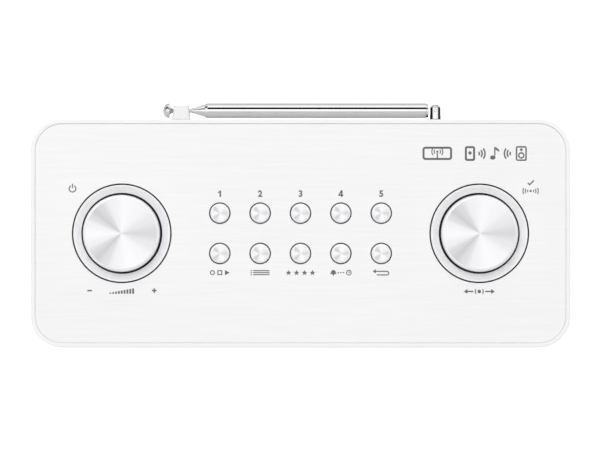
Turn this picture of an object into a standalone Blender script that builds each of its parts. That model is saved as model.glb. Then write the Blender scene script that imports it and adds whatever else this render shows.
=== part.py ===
"""A tabletop radio: white cabinet, brushed control panel on top, telescopic antenna behind.

Sizes are in metres.  +X runs to the right of someone in front of the radio, the front
faces -Y and +Z is up.  The origin is on the table, under the middle of the radio's box
with the antenna stowed along the back.
"""

import math

import bmesh
import bpy
from mathutils import Matrix, Vector

MM = 0.001

# Driving dimensions: cabinet.
CASE_WIDTH = 284 * MM
CASE_DEPTH = 120 * MM
CASE_CORNER = 16.7 * MM
CASE_TOP = 108 * MM
FOOT_HEIGHT = 3.5 * MM
WALL = 2.1 * MM
GAP = 0.3 * MM
LEDGE_WIDTH = 4 * MM
LEDGE_TOP = 103.3 * MM
LEDGE_THICKNESS = 1.8 * MM
RIM_ROUNDING = 0.9 * MM

# Driving dimensions: control panel.
PANEL_TOP = 107.7 * MM
PANEL_THICKNESS = 1.6 * MM
FRAME_THICKNESS = 2.2 * MM
BUTTON_PITCH = 21.24 * MM
BUTTON_COLUMNS = 5
BUTTON_ROW_OFFSET = 10.6 * MM
BUTTON_RADIUS = 5 * MM
BUTTON_FACE_RADIUS = 4.1 * MM
BUTTON_PROUD = 1.5 * MM
BUTTON_TRAVEL = 0.6 * MM
BUTTON_HOLE_RADIUS = 5.65 * MM
BUTTON_BORE = BUTTON_RADIUS + 0.2 * MM
FLANGE_RADIUS = 6.1 * MM
FLANGE_THICKNESS = 1 * MM
KNOB_X = 94.1 * MM
KNOB_RADIUS = 20.2 * MM
KNOB_FACE_RADIUS = 18.7 * MM
KNOB_PROUD = 7.6 * MM
KNOB_TRAVEL = 0.8 * MM
BEZEL_HOLE_RADIUS = 26.25 * MM
BEZEL_RADIUS = 25.5 * MM
BEZEL_BORE = 21.3 * MM
WELL_FLOOR_TOP = 102 * MM
WELL_FLOOR_THICKNESS = 2 * MM
WELL_WALL = 1.9 * MM
SHAFT_RADIUS = 2.95 * MM
SHAFT_HOLE = 4.2 * MM

# Driving dimensions: front.
OPENING_WIDTH = 244 * MM
OPENING_BOTTOM = 14 * MM
OPENING_TOP = 94 * MM
OPENING_CORNER = 8 * MM
GRILLE_RECESS = 0.5 * MM
WINDOW_WIDTH = 84 * MM
WINDOW_HEIGHT = 46 * MM
SLOT_LENGTH = 68 * MM
SLOT_HEIGHT = 1.6 * MM
SLOT_PITCH = 4 * MM
SLOT_COUNT = 17
SPEAKER_X = 82 * MM
SPEAKER_HOLE = 30.5 * MM
BAFFLE_THICKNESS = 3 * MM
BAFFLE_WIDTH = 255 * MM
BAFFLE_HEIGHT = 92 * MM

# Driving dimensions: inside.
BOARD_THICKNESS = 1.6 * MM
SWITCH_HEIGHT = 4.4 * MM
CONTROL_BOARD_BOTTOM = 88.4 * MM
MAIN_BOARD_BOTTOM = 12 * MM
BASE_THICKNESS = 2.5 * MM
FOOT_X = 115 * MM
FOOT_OFFSET_Y = 44 * MM
SCREW_X = 131 * MM
SCREW_OFFSET_Y = 38 * MM
SOCKET_CENTRE_Z = 19.4 * MM
DC_INLET_X = 105 * MM
AUX_JACK_X = 84 * MM
HEADPHONE_JACK_X = 66 * MM
JACK_BARREL = 3.8 * MM
JACK_BORE = 1.8 * MM
INLET_WIDTH = 9 * MM
SCREW_RADIUS = 1.5 * MM
BOSS_RADIUS = 4 * MM
BOSS_TOP = 20 * MM
FOOT_PLUG_RADIUS = 2.4 * MM

# Driving dimensions: antenna.  Lengths run from its tilt pin towards its tip.
TUBE_RADIUS = 3.95 * MM
TUBE_GAP = 1 * MM
ANTENNA_X = 71.4 * MM
ANTENNA_Z = 93 * MM
POST_RADIUS = 2.9 * MM
POST_END = 3.45 * MM
STEM_RADIUS = 2 * MM
BUSH_RADIUS = 4.6 * MM
PIN_RADIUS = 0.8 * MM
PIN_HOLE = 0.95 * MM
TUBE_START = 3.8 * MM
TUBE_SHOULDER = 120.6 * MM
TIP_NECK = 139.1 * MM
TIP_END = 144.2 * MM
CLIP_X = -63.1 * MM
CLIP_TAB = 5 * MM

# Worked out from the driving dimensions.
TUBE_OVERHANG = TUBE_GAP + 2 * TUBE_RADIUS
CASE_Y = -TUBE_OVERHANG / 2
FRONT_Y = CASE_Y - CASE_DEPTH / 2
REAR_Y = CASE_Y + CASE_DEPTH / 2
ANTENNA_Y = REAR_Y + TUBE_GAP + TUBE_RADIUS
INNER_WIDTH = CASE_WIDTH - 2 * WALL
INNER_DEPTH = CASE_DEPTH - 2 * WALL
INNER_CORNER = CASE_CORNER - WALL
PANEL_BOTTOM = PANEL_TOP - PANEL_THICKNESS
FRAME_TOP = PANEL_BOTTOM - GAP
FRAME_BOTTOM = FRAME_TOP - FRAME_THICKNESS
FRONT_MIDDLE = (OPENING_BOTTOM + OPENING_TOP) / 2
OPENING_HEIGHT = OPENING_TOP - OPENING_BOTTOM
BAFFLE_FRONT = FRONT_Y + WALL + GAP
BAFFLE_BACK = BAFFLE_FRONT + BAFFLE_THICKNESS
CONTROL_BOARD_TOP = CONTROL_BOARD_BOTTOM + BOARD_THICKNESS
MAIN_BOARD_TOP = MAIN_BOARD_BOTTOM + BOARD_THICKNESS
SOCKET_HEIGHT = 2 * (SOCKET_CENTRE_Z - MAIN_BOARD_TOP - GAP)
PIVOT = Vector((ANTENNA_X, ANTENNA_Y, ANTENNA_Z))

# Edges sharper than this stay crisp in the shading.
SHARP_ANGLE = math.radians(35)

# Turns an object's own +Z towards the named direction.
TURNS = {
    "+Z": (0, 0, 0),
    "+Y": (-math.pi / 2, 0, 0),
    "-Y": (math.pi / 2, 0, 0),
    "-X": (0, -math.pi / 2, 0),
}

# Colour, roughness and metallic value of each material.
MATERIALS = {
    "white_plastic": ((0.88, 0.88, 0.89), 0.35, 0.0),
    "brushed_panel": ((0.86, 0.86, 0.88), 0.3, 0.6),
    "spun_metal": ((0.85, 0.85, 0.87), 0.25, 0.9),
    "dish_plastic": ((0.74, 0.74, 0.78), 0.35, 0.2),
    "dark_plastic": ((0.06, 0.06, 0.07), 0.5, 0.0),
    "grille_plastic": ((0.8, 0.8, 0.81), 0.45, 0.0),
    "dark_glass": ((0.02, 0.02, 0.025), 0.08, 0.0),
    "chrome": ((0.8, 0.8, 0.82), 0.06, 1.0),
    "steel": ((0.6, 0.6, 0.62), 0.3, 1.0),
    "rubber": ((0.05, 0.05, 0.05), 0.8, 0.0),
    "circuit_board": ((0.03, 0.22, 0.08), 0.5, 0.0),
    "cone_paper": ((0.07, 0.07, 0.075), 0.8, 0.0),
    "cable": ((0.12, 0.12, 0.13), 0.6, 0.0),
}


def clear_scene():
    for obj in list(bpy.data.objects):
        bpy.data.objects.remove(obj, do_unlink=True)


def new_collection(name):
    collection = bpy.data.collections.new(name)
    bpy.context.scene.collection.children.link(collection)
    return collection


def make_material(name):
    colour, roughness, metallic = MATERIALS[name]
    material = bpy.data.materials.new(name)
    material.use_nodes = True
    shader = material.node_tree.nodes["Principled BSDF"]
    shader.inputs["Base Color"].default_value = (*colour, 1.0)
    shader.inputs["Roughness"].default_value = roughness
    shader.inputs["Metallic"].default_value = metallic
    material.diffuse_color = (*colour, 1.0)
    return material


clear_scene()
PARTS = new_collection("tabletop_radio")
CUTTERS = new_collection("cutters")
MATERIAL = {name: make_material(name) for name in MATERIALS}


# Shapes added to a bmesh, in world coordinates.


def add_block(bm, size, centre, corner=0.0, along=2, segments=6):
    """A box; its four edges along one axis are rounded when corner is given."""
    cube = bmesh.new()
    bmesh.ops.create_cube(cube, size=1.0)
    bmesh.ops.scale(cube, vec=size, verts=cube.verts)
    if corner:
        edges = [e for e in cube.edges if abs((e.verts[0].co - e.verts[1].co)[along]) > 1e-6]
        bmesh.ops.bevel(
            cube, geom=edges, offset=corner, segments=segments, profile=0.5, affect="EDGES"
        )
    bmesh.ops.translate(cube, vec=centre, verts=cube.verts)
    append(bm, cube)


def add_cylinder(bm, radius, length, centre, along="+Z", segments=24):
    """A cylinder centred on a point."""
    turn = Matrix.Translation(centre) @ rotation(along)
    bmesh.ops.create_cone(
        bm,
        cap_ends=True,
        segments=segments,
        radius1=radius,
        radius2=radius,
        depth=length,
        matrix=turn,
    )


def append(bm, other):
    mesh = bpy.data.meshes.new("shape")
    other.to_mesh(mesh)
    other.free()
    bm.from_mesh(mesh)
    bpy.data.meshes.remove(mesh)


def rotation(along):
    turn_x, turn_y, turn_z = TURNS[along]
    matrix = Matrix.Rotation(turn_x, 4, "X") @ Matrix.Rotation(turn_y, 4, "Y")
    return matrix @ Matrix.Rotation(turn_z, 4, "Z")


# Objects.


def finish_object(name, mesh, material, location=(0, 0, 0)):
    """Links an object for one sub-part, whose mesh is already about its location."""
    obj = bpy.data.objects.new(name, mesh)
    obj.location = location
    mesh.materials.append(MATERIAL[material])
    PARTS.objects.link(obj)
    return obj


def solid(name, bm, material, origin=(0, 0, 0)):
    """One sub-part from a bmesh in world coordinates, with its origin at a point."""
    bmesh.ops.translate(bm, vec=-Vector(origin), verts=bm.verts)
    mesh = bpy.data.meshes.new(name)
    bm.to_mesh(mesh)
    bm.free()
    mesh.shade_smooth()
    mesh.set_sharp_from_angle(angle=SHARP_ANGLE)
    return finish_object(name, mesh, material, origin)


def block(name, size, centre, material, corner=0.0, along=2, segments=6):
    bm = bmesh.new()
    add_block(bm, size, centre, corner, along, segments)
    return solid(name, bm, material, centre)


def turned(name, profile, centre, along, material, steps=32, closed=False):
    """A profile of (radius, height) points turned about a line through centre."""
    mesh = bpy.data.meshes.new(name)
    points = [(radius, 0.0, height) for radius, height in profile]
    edges = [(i, i + 1) for i in range(len(points) - 1)]
    if closed:
        edges.append((len(points) - 1, 0))
    mesh.from_pydata(points, edges, [])
    obj = finish_object(name, mesh, material, centre)
    obj.rotation_euler = rotation(along).to_euler()
    screw = obj.modifiers.new("Turn", "SCREW")
    screw.axis = "Z"
    screw.angle = 2 * math.pi
    screw.steps = steps
    screw.render_steps = steps
    screw.use_merge_vertices = True
    screw.merge_threshold = 0.00001
    screw.use_smooth_shade = True
    return obj


def as_guide(obj):
    """Moves an object to the cutters, where it only shapes other objects."""
    for collection in list(obj.users_collection):
        collection.objects.unlink(obj)
    CUTTERS.objects.link(obj)
    obj.hide_render = True
    obj.display_type = "WIRE"
    return obj


def guide(name, bm):
    return as_guide(solid(name, bm, "white_plastic"))


def boolean(obj, other, operation):
    modifier = obj.modifiers.new(f"{operation.title()} {other.name}", "BOOLEAN")
    modifier.operation = operation
    modifier.solver = "EXACT"
    modifier.object = other
    return obj


def cut(obj, bm):
    return boolean(obj, guide(f"{obj.name}_cut_{len(obj.modifiers)}", bm), "DIFFERENCE")


def join(obj, bm):
    return boolean(obj, guide(f"{obj.name}_join_{len(obj.modifiers)}", bm), "UNION")


def attach(child, parent):
    """Parents one piece to another without moving it."""
    bpy.context.view_layer.update()
    child.parent = parent
    child.matrix_parent_inverse = parent.matrix_world.inverted()


def cable(name, points, radius, material):
    """A round wire along a smooth curve through its route's points."""
    route = smooth_route(points)
    curve = bpy.data.curves.new(name, "CURVE")
    curve.dimensions = "3D"
    curve.bevel_depth = radius
    curve.bevel_resolution = 2
    curve.use_fill_caps = True
    spline = curve.splines.new("POLY")
    spline.points.add(len(route) - 1)
    for point, place in zip(spline.points, route):
        point.co = (*place, 1.0)
    return finish_object(name, curve, material)


def smooth_route(points, steps=3):
    """Catmull-Rom points through a route, ends included."""
    places = [Vector(p) for p in points]
    padded = [2 * places[0] - places[1], *places, 2 * places[-1] - places[-2]]
    route = []
    for i in range(1, len(padded) - 2):
        before, start, end, after = padded[i - 1 : i + 3]
        for step in range(steps):
            t = step / steps
            route.append(
                0.5
                * (
                    2 * start
                    + (end - before) * t
                    + (2 * before - 5 * start + 4 * end - after) * t**2
                    + (3 * start - before - 3 * end + after) * t**3
                )
            )
    route.append(places[-1])
    return route


def button_places():
    """(name, x, y) of each button: five presets behind, five menu buttons in front."""
    rear = [f"preset_button_{i + 1}" for i in range(BUTTON_COLUMNS)]
    front = ["mode_button", "menu_button", "favourite_button", "alarm_button", "back_button"]
    places = []
    for row, names in ((BUTTON_ROW_OFFSET, rear), (-BUTTON_ROW_OFFSET, front)):
        for column, name in enumerate(names):
            x = (column - (BUTTON_COLUMNS - 1) / 2) * BUTTON_PITCH
            places.append((name, x, CASE_Y + row))
    return places


KNOBS = (("volume", -KNOB_X), ("navigate", KNOB_X))
CORNERS = tuple((sx, sy) for sx in (-1, 1) for sy in (-1, 1))
CORNER_NAMES = {(-1, -1): "front_left", (1, -1): "front_right", (-1, 1): "rear_left", (1, 1): "rear_right"}


# Cabinet.


def add_levels(bm, width, depth, corner, bottom, top):
    """A plan-rounded block of the cabinet between two heights."""
    size = (width, depth, top - bottom)
    add_block(bm, size, (0, CASE_Y, (top + bottom) / 2), corner, segments=8)


def make_cabinet_shell():
    bm = bmesh.new()
    add_levels(bm, CASE_WIDTH, CASE_DEPTH, CASE_CORNER, FOOT_HEIGHT, CASE_TOP)
    top_edges = [e for e in bm.edges if min(v.co.z for v in e.verts) > CASE_TOP - GAP]
    bmesh.ops.bevel(bm, geom=top_edges, offset=RIM_ROUNDING, segments=2, profile=0.5, affect="EDGES")
    shell = solid("cabinet_shell", bm, "white_plastic")
    above = CASE_TOP + WALL
    below = FOOT_HEIGHT - WALL

    narrow = bmesh.new()
    ledge_corner = INNER_CORNER - LEDGE_WIDTH
    ledge_plan = (INNER_WIDTH - 2 * LEDGE_WIDTH, INNER_DEPTH - 2 * LEDGE_WIDTH)
    add_levels(narrow, *ledge_plan, ledge_corner, below, above)
    cut(shell, narrow)

    wide = bmesh.new()
    inner = (INNER_WIDTH, INNER_DEPTH, INNER_CORNER)
    add_levels(wide, *inner, below, LEDGE_TOP - LEDGE_THICKNESS)
    add_levels(wide, *inner, LEDGE_TOP, above)
    cut(shell, wide)

    windows = bmesh.new()
    opening = (OPENING_WIDTH, 4 * WALL, OPENING_HEIGHT)
    add_block(windows, opening, (0, FRONT_Y, FRONT_MIDDLE), OPENING_CORNER, along=1)
    bush_place = (ANTENNA_X, REAR_Y, ANTENNA_Z)
    add_cylinder(windows, BUSH_RADIUS + GAP, 4 * WALL, bush_place, "+Y")
    tab_hole = CLIP_TAB + 2 * GAP
    add_block(windows, (tab_hole, 4 * WALL, tab_hole), (CLIP_X, REAR_Y, ANTENNA_Z))
    dc_hole = (INLET_WIDTH + 2 * GAP, 4 * WALL, SOCKET_HEIGHT + 2 * GAP)
    add_block(windows, dc_hole, (DC_INLET_X, REAR_Y, SOCKET_CENTRE_Z), 1 * MM, along=1, segments=2)
    for x in (AUX_JACK_X, HEADPHONE_JACK_X):
        place = (x, REAR_Y, SOCKET_CENTRE_Z)
        add_cylinder(windows, JACK_BARREL + GAP, 4 * WALL, place, "+Y", 20)
    cut(shell, windows)
    join_bosses(shell)
    cut(shell, screw_bores())


def join_bosses(shell):
    """Four pillars for the base screws, each tied to its side wall by a rib."""
    bottom = FOOT_HEIGHT + BASE_THICKNESS + GAP
    height = BOSS_TOP - bottom
    middle = (bottom + BOSS_TOP) / 2
    rib_start = SCREW_X + 3 * MM
    rib_end = INNER_WIDTH / 2 + WALL / 2
    rib = (rib_end - rib_start, 2.4 * MM, height - 2 * MM)
    pillars = bmesh.new()
    ribs = bmesh.new()
    for side, end in CORNERS:
        y = CASE_Y + end * SCREW_OFFSET_Y
        add_cylinder(pillars, BOSS_RADIUS, height, (side * SCREW_X, y, middle), segments=16)
        add_block(ribs, rib, (side * (rib_start + rib_end) / 2, y, middle))
    join(shell, ribs)
    join(shell, pillars)


def screw_bores():
    """Cutters for the four base screws, a gap wider than their shanks."""
    bm = bmesh.new()
    for side, end in CORNERS:
        place = (side * SCREW_X, CASE_Y + end * SCREW_OFFSET_Y, BOSS_TOP / 2)
        add_cylinder(bm, SCREW_RADIUS + GAP, BOSS_TOP - 3 * MM, place, segments=12)
    return bm


def make_base():
    size = (INNER_WIDTH - 2 * GAP, INNER_DEPTH - 2 * GAP, BASE_THICKNESS)
    centre = (0, CASE_Y, FOOT_HEIGHT + BASE_THICKNESS / 2)
    plate = block("base_plate", size, centre, "white_plastic", INNER_CORNER - GAP, segments=5)
    holes = screw_bores()
    for side, end in CORNERS:
        place = (side * FOOT_X, CASE_Y + end * FOOT_OFFSET_Y, FOOT_HEIGHT)
        add_cylinder(holes, FOOT_PLUG_RADIUS + GAP, 4 * BASE_THICKNESS, place, segments=12)
    cut(plate, holes)

    foot_top = FOOT_HEIGHT - GAP
    foot = [
        (0, 5.6 * MM),
        (FOOT_PLUG_RADIUS, 5.6 * MM),
        (FOOT_PLUG_RADIUS, foot_top),
        (8.4 * MM, foot_top),
        (9 * MM, 1 * MM),
        (8.2 * MM, 0),
        (0, 0),
    ]
    screw = [
        (0, 16 * MM),
        (SCREW_RADIUS, 15 * MM),
        (SCREW_RADIUS, foot_top),
        (3.2 * MM, foot_top),
        (2.6 * MM, 1.9 * MM),
        (0, 1.7 * MM),
    ]
    for side, end in CORNERS:
        corner = CORNER_NAMES[side, end]
        foot_place = (side * FOOT_X, CASE_Y + end * FOOT_OFFSET_Y, 0)
        turned(f"foot_{corner}", foot, foot_place, "+Z", "rubber", steps=16)
        screw_place = (side * SCREW_X, CASE_Y + end * SCREW_OFFSET_Y, 0)
        turned(f"base_screw_{corner}", screw, screw_place, "+Z", "steel", steps=10)


# Control panel.


def make_top_panel():
    size = (INNER_WIDTH - 2 * GAP, INNER_DEPTH - 2 * GAP, PANEL_THICKNESS)
    centre = (0, CASE_Y, PANEL_TOP - PANEL_THICKNESS / 2)
    panel = block("top_panel", size, centre, "brushed_panel", INNER_CORNER - GAP, segments=8)
    holes = bmesh.new()
    for _, x, y in button_places():
        add_cylinder(holes, BUTTON_HOLE_RADIUS, 9 * MM, (x, y, PANEL_TOP), segments=16)
    for _, x in KNOBS:
        add_cylinder(holes, BEZEL_HOLE_RADIUS, 9 * MM, (x, CASE_Y, PANEL_TOP), segments=32)
    cut(panel, holes)


def make_control_frame():
    """The dark moulding under the panel: it guides the buttons, with a well under each knob."""
    size = (INNER_WIDTH - 3 * GAP, INNER_DEPTH - 3 * GAP, FRAME_THICKNESS)
    centre = (0, CASE_Y, (FRAME_TOP + FRAME_BOTTOM) / 2)
    frame = block("control_frame", size, centre, "dark_plastic", INNER_CORNER - GAP, segments=6)

    wells = bmesh.new()
    well_bottom = WELL_FLOOR_TOP - WELL_FLOOR_THICKNESS
    well_top = FRAME_TOP - FRAME_THICKNESS / 3
    well_radius = BEZEL_HOLE_RADIUS + WELL_WALL
    for _, x in KNOBS:
        place = (x, CASE_Y, (well_bottom + well_top) / 2)
        add_cylinder(wells, well_radius, well_top - well_bottom, place, segments=32)
    join(frame, wells)

    reach = 20 * MM
    bores = bmesh.new()
    for _, x, y in button_places():
        add_cylinder(bores, BUTTON_BORE, reach, (x, y, PANEL_TOP), segments=16)
    for _, x in KNOBS:
        place = (x, CASE_Y, WELL_FLOOR_TOP + reach / 2)
        add_cylinder(bores, BEZEL_HOLE_RADIUS, reach, place, segments=32)
    cut(frame, bores)
    shafts = bmesh.new()
    for _, x in KNOBS:
        add_cylinder(shafts, SHAFT_HOLE, reach, (x, CASE_Y, WELL_FLOOR_TOP), segments=12)
    cut(frame, shafts)


def make_bezels():
    """The light dished ring round each knob."""
    bottom = WELL_FLOOR_TOP + GAP
    lip = PANEL_TOP - 0.2 * MM
    dish = [
        (22.4 * MM, lip - 0.6 * MM),
        (23.8 * MM, lip - 0.25 * MM),
        (24.8 * MM, lip),
        (BEZEL_RADIUS, lip),
        (BEZEL_RADIUS, bottom),
        (BEZEL_BORE, bottom),
        (BEZEL_BORE, lip - 0.8 * MM),
    ]
    for name, x in KNOBS:
        centre = (x, CASE_Y, 0)
        turned(f"{name}_bezel", dish, centre, "+Z", "dish_plastic", steps=32, closed=True)


def make_buttons():
    top = PANEL_TOP + BUTTON_PROUD
    flange_top = FRAME_BOTTOM - GAP
    switch_clearance = BUTTON_TRAVEL + GAP
    stem_bottom = CONTROL_BOARD_TOP + SWITCH_HEIGHT + switch_clearance
    cap = [
        (0, top),
        (BUTTON_FACE_RADIUS, top),
        (BUTTON_RADIUS, top - 0.6 * MM),
        (BUTTON_RADIUS, flange_top),
        (FLANGE_RADIUS, flange_top),
        (FLANGE_RADIUS, flange_top - FLANGE_THICKNESS),
        (1.6 * MM, flange_top - FLANGE_THICKNESS),
        (1.6 * MM, stem_bottom),
        (0, stem_bottom),
    ]
    for name, x, y in button_places():
        turned(name, cap, (x, y, 0), "+Z", "spun_metal", steps=16)


def make_knobs():
    """Each knob: cap, shaft, and the push-switch plunger inside its encoder."""
    top = PANEL_TOP + KNOB_PROUD
    skirt = WELL_FLOOR_TOP + KNOB_TRAVEL + 2 * GAP
    shaft_top = top - 4 * MM
    shaft_bottom = CONTROL_BOARD_TOP + 3.2 * MM
    bore = SHAFT_RADIUS + 0.25 * MM
    cap = [
        (0, top - 0.35 * MM),
        (KNOB_FACE_RADIUS, top),
        (KNOB_RADIUS - 0.45 * MM, top - 0.7 * MM),
        (KNOB_RADIUS, top - 2.2 * MM),
        (KNOB_RADIUS, skirt),
        (KNOB_RADIUS - 1.8 * MM, skirt),
        (KNOB_RADIUS - 1.8 * MM, top - 3 * MM),
        (5 * MM, top - 3 * MM),
        (5 * MM, skirt),
        (bore, skirt),
        (bore, shaft_top + GAP),
        (0, shaft_top + GAP),
    ]
    shaft = [
        (0, shaft_top),
        (SHAFT_RADIUS, shaft_top),
        (SHAFT_RADIUS, shaft_bottom),
        (0, shaft_bottom),
    ]
    plunger_top = shaft_bottom - GAP
    plunger = [
        (0, plunger_top),
        (2.6 * MM, plunger_top),
        (2.6 * MM, plunger_top - 1 * MM),
        (0, plunger_top - 1 * MM),
    ]
    for name, x in KNOBS:
        centre = (x, CASE_Y, 0)
        mover = turned(f"{name}_plunger", plunger, centre, "+Z", "dark_plastic", steps=12)
        attach(turned(f"{name}_knob", cap, centre, "+Z", "spun_metal", steps=32), mover)
        attach(turned(f"{name}_shaft", shaft, centre, "+Z", "steel", steps=12), mover)


# Front: grille, display and speakers.


def make_grille():
    bottom_gap = 2 * GAP
    size = (OPENING_WIDTH - bottom_gap, WALL - GRILLE_RECESS, OPENING_HEIGHT - bottom_gap)
    centre = (0, FRONT_Y + (WALL + GRILLE_RECESS) / 2, FRONT_MIDDLE)
    corner = OPENING_CORNER - GAP
    grille = block("front_grille", size, centre, "grille_plastic", corner, along=1)
    slots = bmesh.new()
    hole = (WINDOW_WIDTH + bottom_gap, 6 * WALL, WINDOW_HEIGHT + bottom_gap)
    add_block(slots, hole, (0, FRONT_Y, FRONT_MIDDLE), 4 * MM, along=1, segments=3)
    slot = (SLOT_LENGTH, 6 * WALL, SLOT_HEIGHT)
    for side in (-1, 1):
        for i in range(SLOT_COUNT):
            z = FRONT_MIDDLE + (i - (SLOT_COUNT - 1) / 2) * SLOT_PITCH
            place = (side * SPEAKER_X, FRONT_Y, z)
            add_block(slots, slot, place)
    cut(grille, slots)


def make_baffle():
    size = (BAFFLE_WIDTH, BAFFLE_THICKNESS, BAFFLE_HEIGHT)
    middle_y = (BAFFLE_FRONT + BAFFLE_BACK) / 2
    centre = (0, middle_y, FRONT_MIDDLE)
    baffle = block("front_baffle", size, centre, "dark_plastic", 3 * MM, along=1, segments=2)
    holes = bmesh.new()
    display_hole = (WINDOW_WIDTH - 8 * MM, 4 * BAFFLE_THICKNESS, WINDOW_HEIGHT - 6 * MM)
    add_block(holes, display_hole, centre)
    for side in (-1, 1):
        place = (side * SPEAKER_X, middle_y, FRONT_MIDDLE)
        add_cylinder(holes, SPEAKER_HOLE, 4 * BAFFLE_THICKNESS, place, "+Y", 24)
    cut(baffle, holes)


def make_display():
    window = (WINDOW_WIDTH, WALL - GAP, WINDOW_HEIGHT)
    window_y = FRONT_Y + (WALL + GAP) / 2
    place = (0, window_y, FRONT_MIDDLE)
    block("display_window", window, place, "dark_glass", 3.7 * MM, along=1, segments=3)
    depth = 7 * MM
    module = (WINDOW_WIDTH - 10 * MM, depth, WINDOW_HEIGHT - 8 * MM)
    place = (0, FRONT_Y + WALL + GAP + depth / 2, FRONT_MIDDLE)
    block("display_module", module, place, "dark_plastic", 1 * MM, along=1, segments=1)


def make_speakers():
    """Heights run forward from the speaker's mounting flange."""
    basket = [
        (33.5 * MM, 0),
        (33.5 * MM, -1.5 * MM),
        (31.4 * MM, -1.5 * MM),
        (31.4 * MM, -5.4 * MM),
        (17 * MM, -18 * MM),
        (6 * MM, -18 * MM),
        (6 * MM, -17 * MM),
        (15.5 * MM, -17 * MM),
        (30.3 * MM, -5 * MM),
        (30.3 * MM, 0),
    ]
    cone = [
        (0, -7.8 * MM),
        (4 * MM, -8.6 * MM),
        (7 * MM, -10.6 * MM),
        (24 * MM, -2.6 * MM),
        (27 * MM, -0.6 * MM),
        (29.7 * MM, -1.7 * MM),
        (29.7 * MM, -2.6 * MM),
        (24 * MM, -3.5 * MM),
        (8 * MM, -11.4 * MM),
        (5.6 * MM, -11.4 * MM),
        (5.6 * MM, -16 * MM),
        (5.1 * MM, -16 * MM),
        (5.1 * MM, -10.6 * MM),
        (0, -9 * MM),
    ]
    magnet = [
        (0, -14 * MM),
        (4.6 * MM, -14 * MM),
        (4.6 * MM, -18.3 * MM),
        (19 * MM, -18.3 * MM),
        (19 * MM, -28 * MM),
        (0, -28 * MM),
    ]
    for name, side in (("left", -1), ("right", 1)):
        place = (side * SPEAKER_X, BAFFLE_BACK + GAP, FRONT_MIDDLE)
        turned(f"speaker_{name}_basket", basket, place, "-Y", "steel", steps=16, closed=True)
        turned(f"speaker_{name}_magnet", magnet, place, "-Y", "steel", steps=16)
        turned(f"speaker_{name}_cone", cone, place, "-Y", "cone_paper", steps=16)


# Electronics.


def make_control_board():
    """The board under the buttons, with one push switch under each of them."""
    size = (226 * MM, 46 * MM, BOARD_THICKNESS)
    centre = (0, CASE_Y, (CONTROL_BOARD_BOTTOM + CONTROL_BOARD_TOP) / 2)
    board = block("control_board", size, centre, "circuit_board")
    switches = bmesh.new()
    sunk = BOARD_THICKNESS / 2
    body = (6 * MM, 6 * MM, SWITCH_HEIGHT + sunk)
    for _, x, y in button_places():
        add_block(switches, body, (x, y, CONTROL_BOARD_TOP + (SWITCH_HEIGHT - sunk) / 2))
    join(board, switches)


def make_encoders():
    body_bottom = CONTROL_BOARD_TOP + GAP
    body_height = 6.5 * MM
    bush_top = WELL_FLOOR_TOP - 0.8 * MM
    for name, x in KNOBS:
        size = (12.4 * MM, 13.2 * MM, body_height)
        place = (x, CASE_Y, body_bottom + body_height / 2)
        encoder = block(f"{name}_encoder", size, place, "steel", 1 * MM, segments=1)
        bush = bmesh.new()
        bush_height = bush_top - body_bottom - body_height / 2
        bush_middle = bush_top - bush_height / 2
        add_cylinder(bush, 3.75 * MM, bush_height, (x, CASE_Y, bush_middle), segments=20)
        join(encoder, bush)
        bore = bmesh.new()
        bore_bottom = body_bottom + 0.5 * MM
        bore_top = bush_top + 2 * MM
        middle = (bore_top + bore_bottom) / 2
        add_cylinder(bore, 3.15 * MM, bore_top - bore_bottom, (x, CASE_Y, middle), segments=20)
        cut(encoder, bore)


def make_main_board():
    size = (96 * MM, 48 * MM, BOARD_THICKNESS)
    rear_edge = REAR_Y - WALL - 1 * MM
    centre = (74 * MM, rear_edge - size[1] / 2, (MAIN_BOARD_BOTTOM + MAIN_BOARD_TOP) / 2)
    block("main_board", size, centre, "circuit_board")
    can = (24 * MM, 18 * MM, 3.4 * MM)
    place = (46 * MM, rear_edge - 28 * MM, MAIN_BOARD_TOP + GAP + can[2] / 2)
    block("tuner_module", can, place, "steel", 1 * MM, segments=1)


def make_sockets():
    face = REAR_Y - 0.2 * MM
    inlet_depth = 14 * MM
    size = (INLET_WIDTH, inlet_depth, SOCKET_HEIGHT)
    place = (DC_INLET_X, face - inlet_depth / 2, SOCKET_CENTRE_Z)
    inlet = block("dc_inlet", size, place, "dark_plastic", 0.6 * MM, along=1, segments=1)
    # The plug's ring-shaped recess, which leaves the centre pin standing.
    recess = [
        (3.1 * MM, 2 * MM),
        (3.1 * MM, -9.5 * MM),
        (1 * MM, -9.5 * MM),
        (1 * MM, 2 * MM),
    ]
    mouth = (DC_INLET_X, face, SOCKET_CENTRE_Z)
    ring = turned("dc_inlet_recess", recess, mouth, "+Y", "dark_plastic", 20, closed=True)
    boolean(inlet, as_guide(ring), "DIFFERENCE")

    nose = WALL + GAP
    jack_depth = 11 * MM
    for name, x in (("aux_jack", AUX_JACK_X), ("headphone_jack", HEADPHONE_JACK_X)):
        size = (INLET_WIDTH, jack_depth, SOCKET_HEIGHT)
        place = (x, face - nose - jack_depth / 2, SOCKET_CENTRE_Z)
        jack = block(name, size, place, "dark_plastic", 0.6 * MM, along=1, segments=1)
        barrel = bmesh.new()
        length = 2 * nose
        add_cylinder(barrel, JACK_BARREL, length, (x, face - length / 2, SOCKET_CENTRE_Z), "+Y", 20)
        join(jack, barrel)
        bore = bmesh.new()
        add_cylinder(bore, JACK_BORE, 2 * jack_depth, (x, face, SOCKET_CENTRE_Z), "+Y", 16)
        cut(jack, bore)


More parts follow.
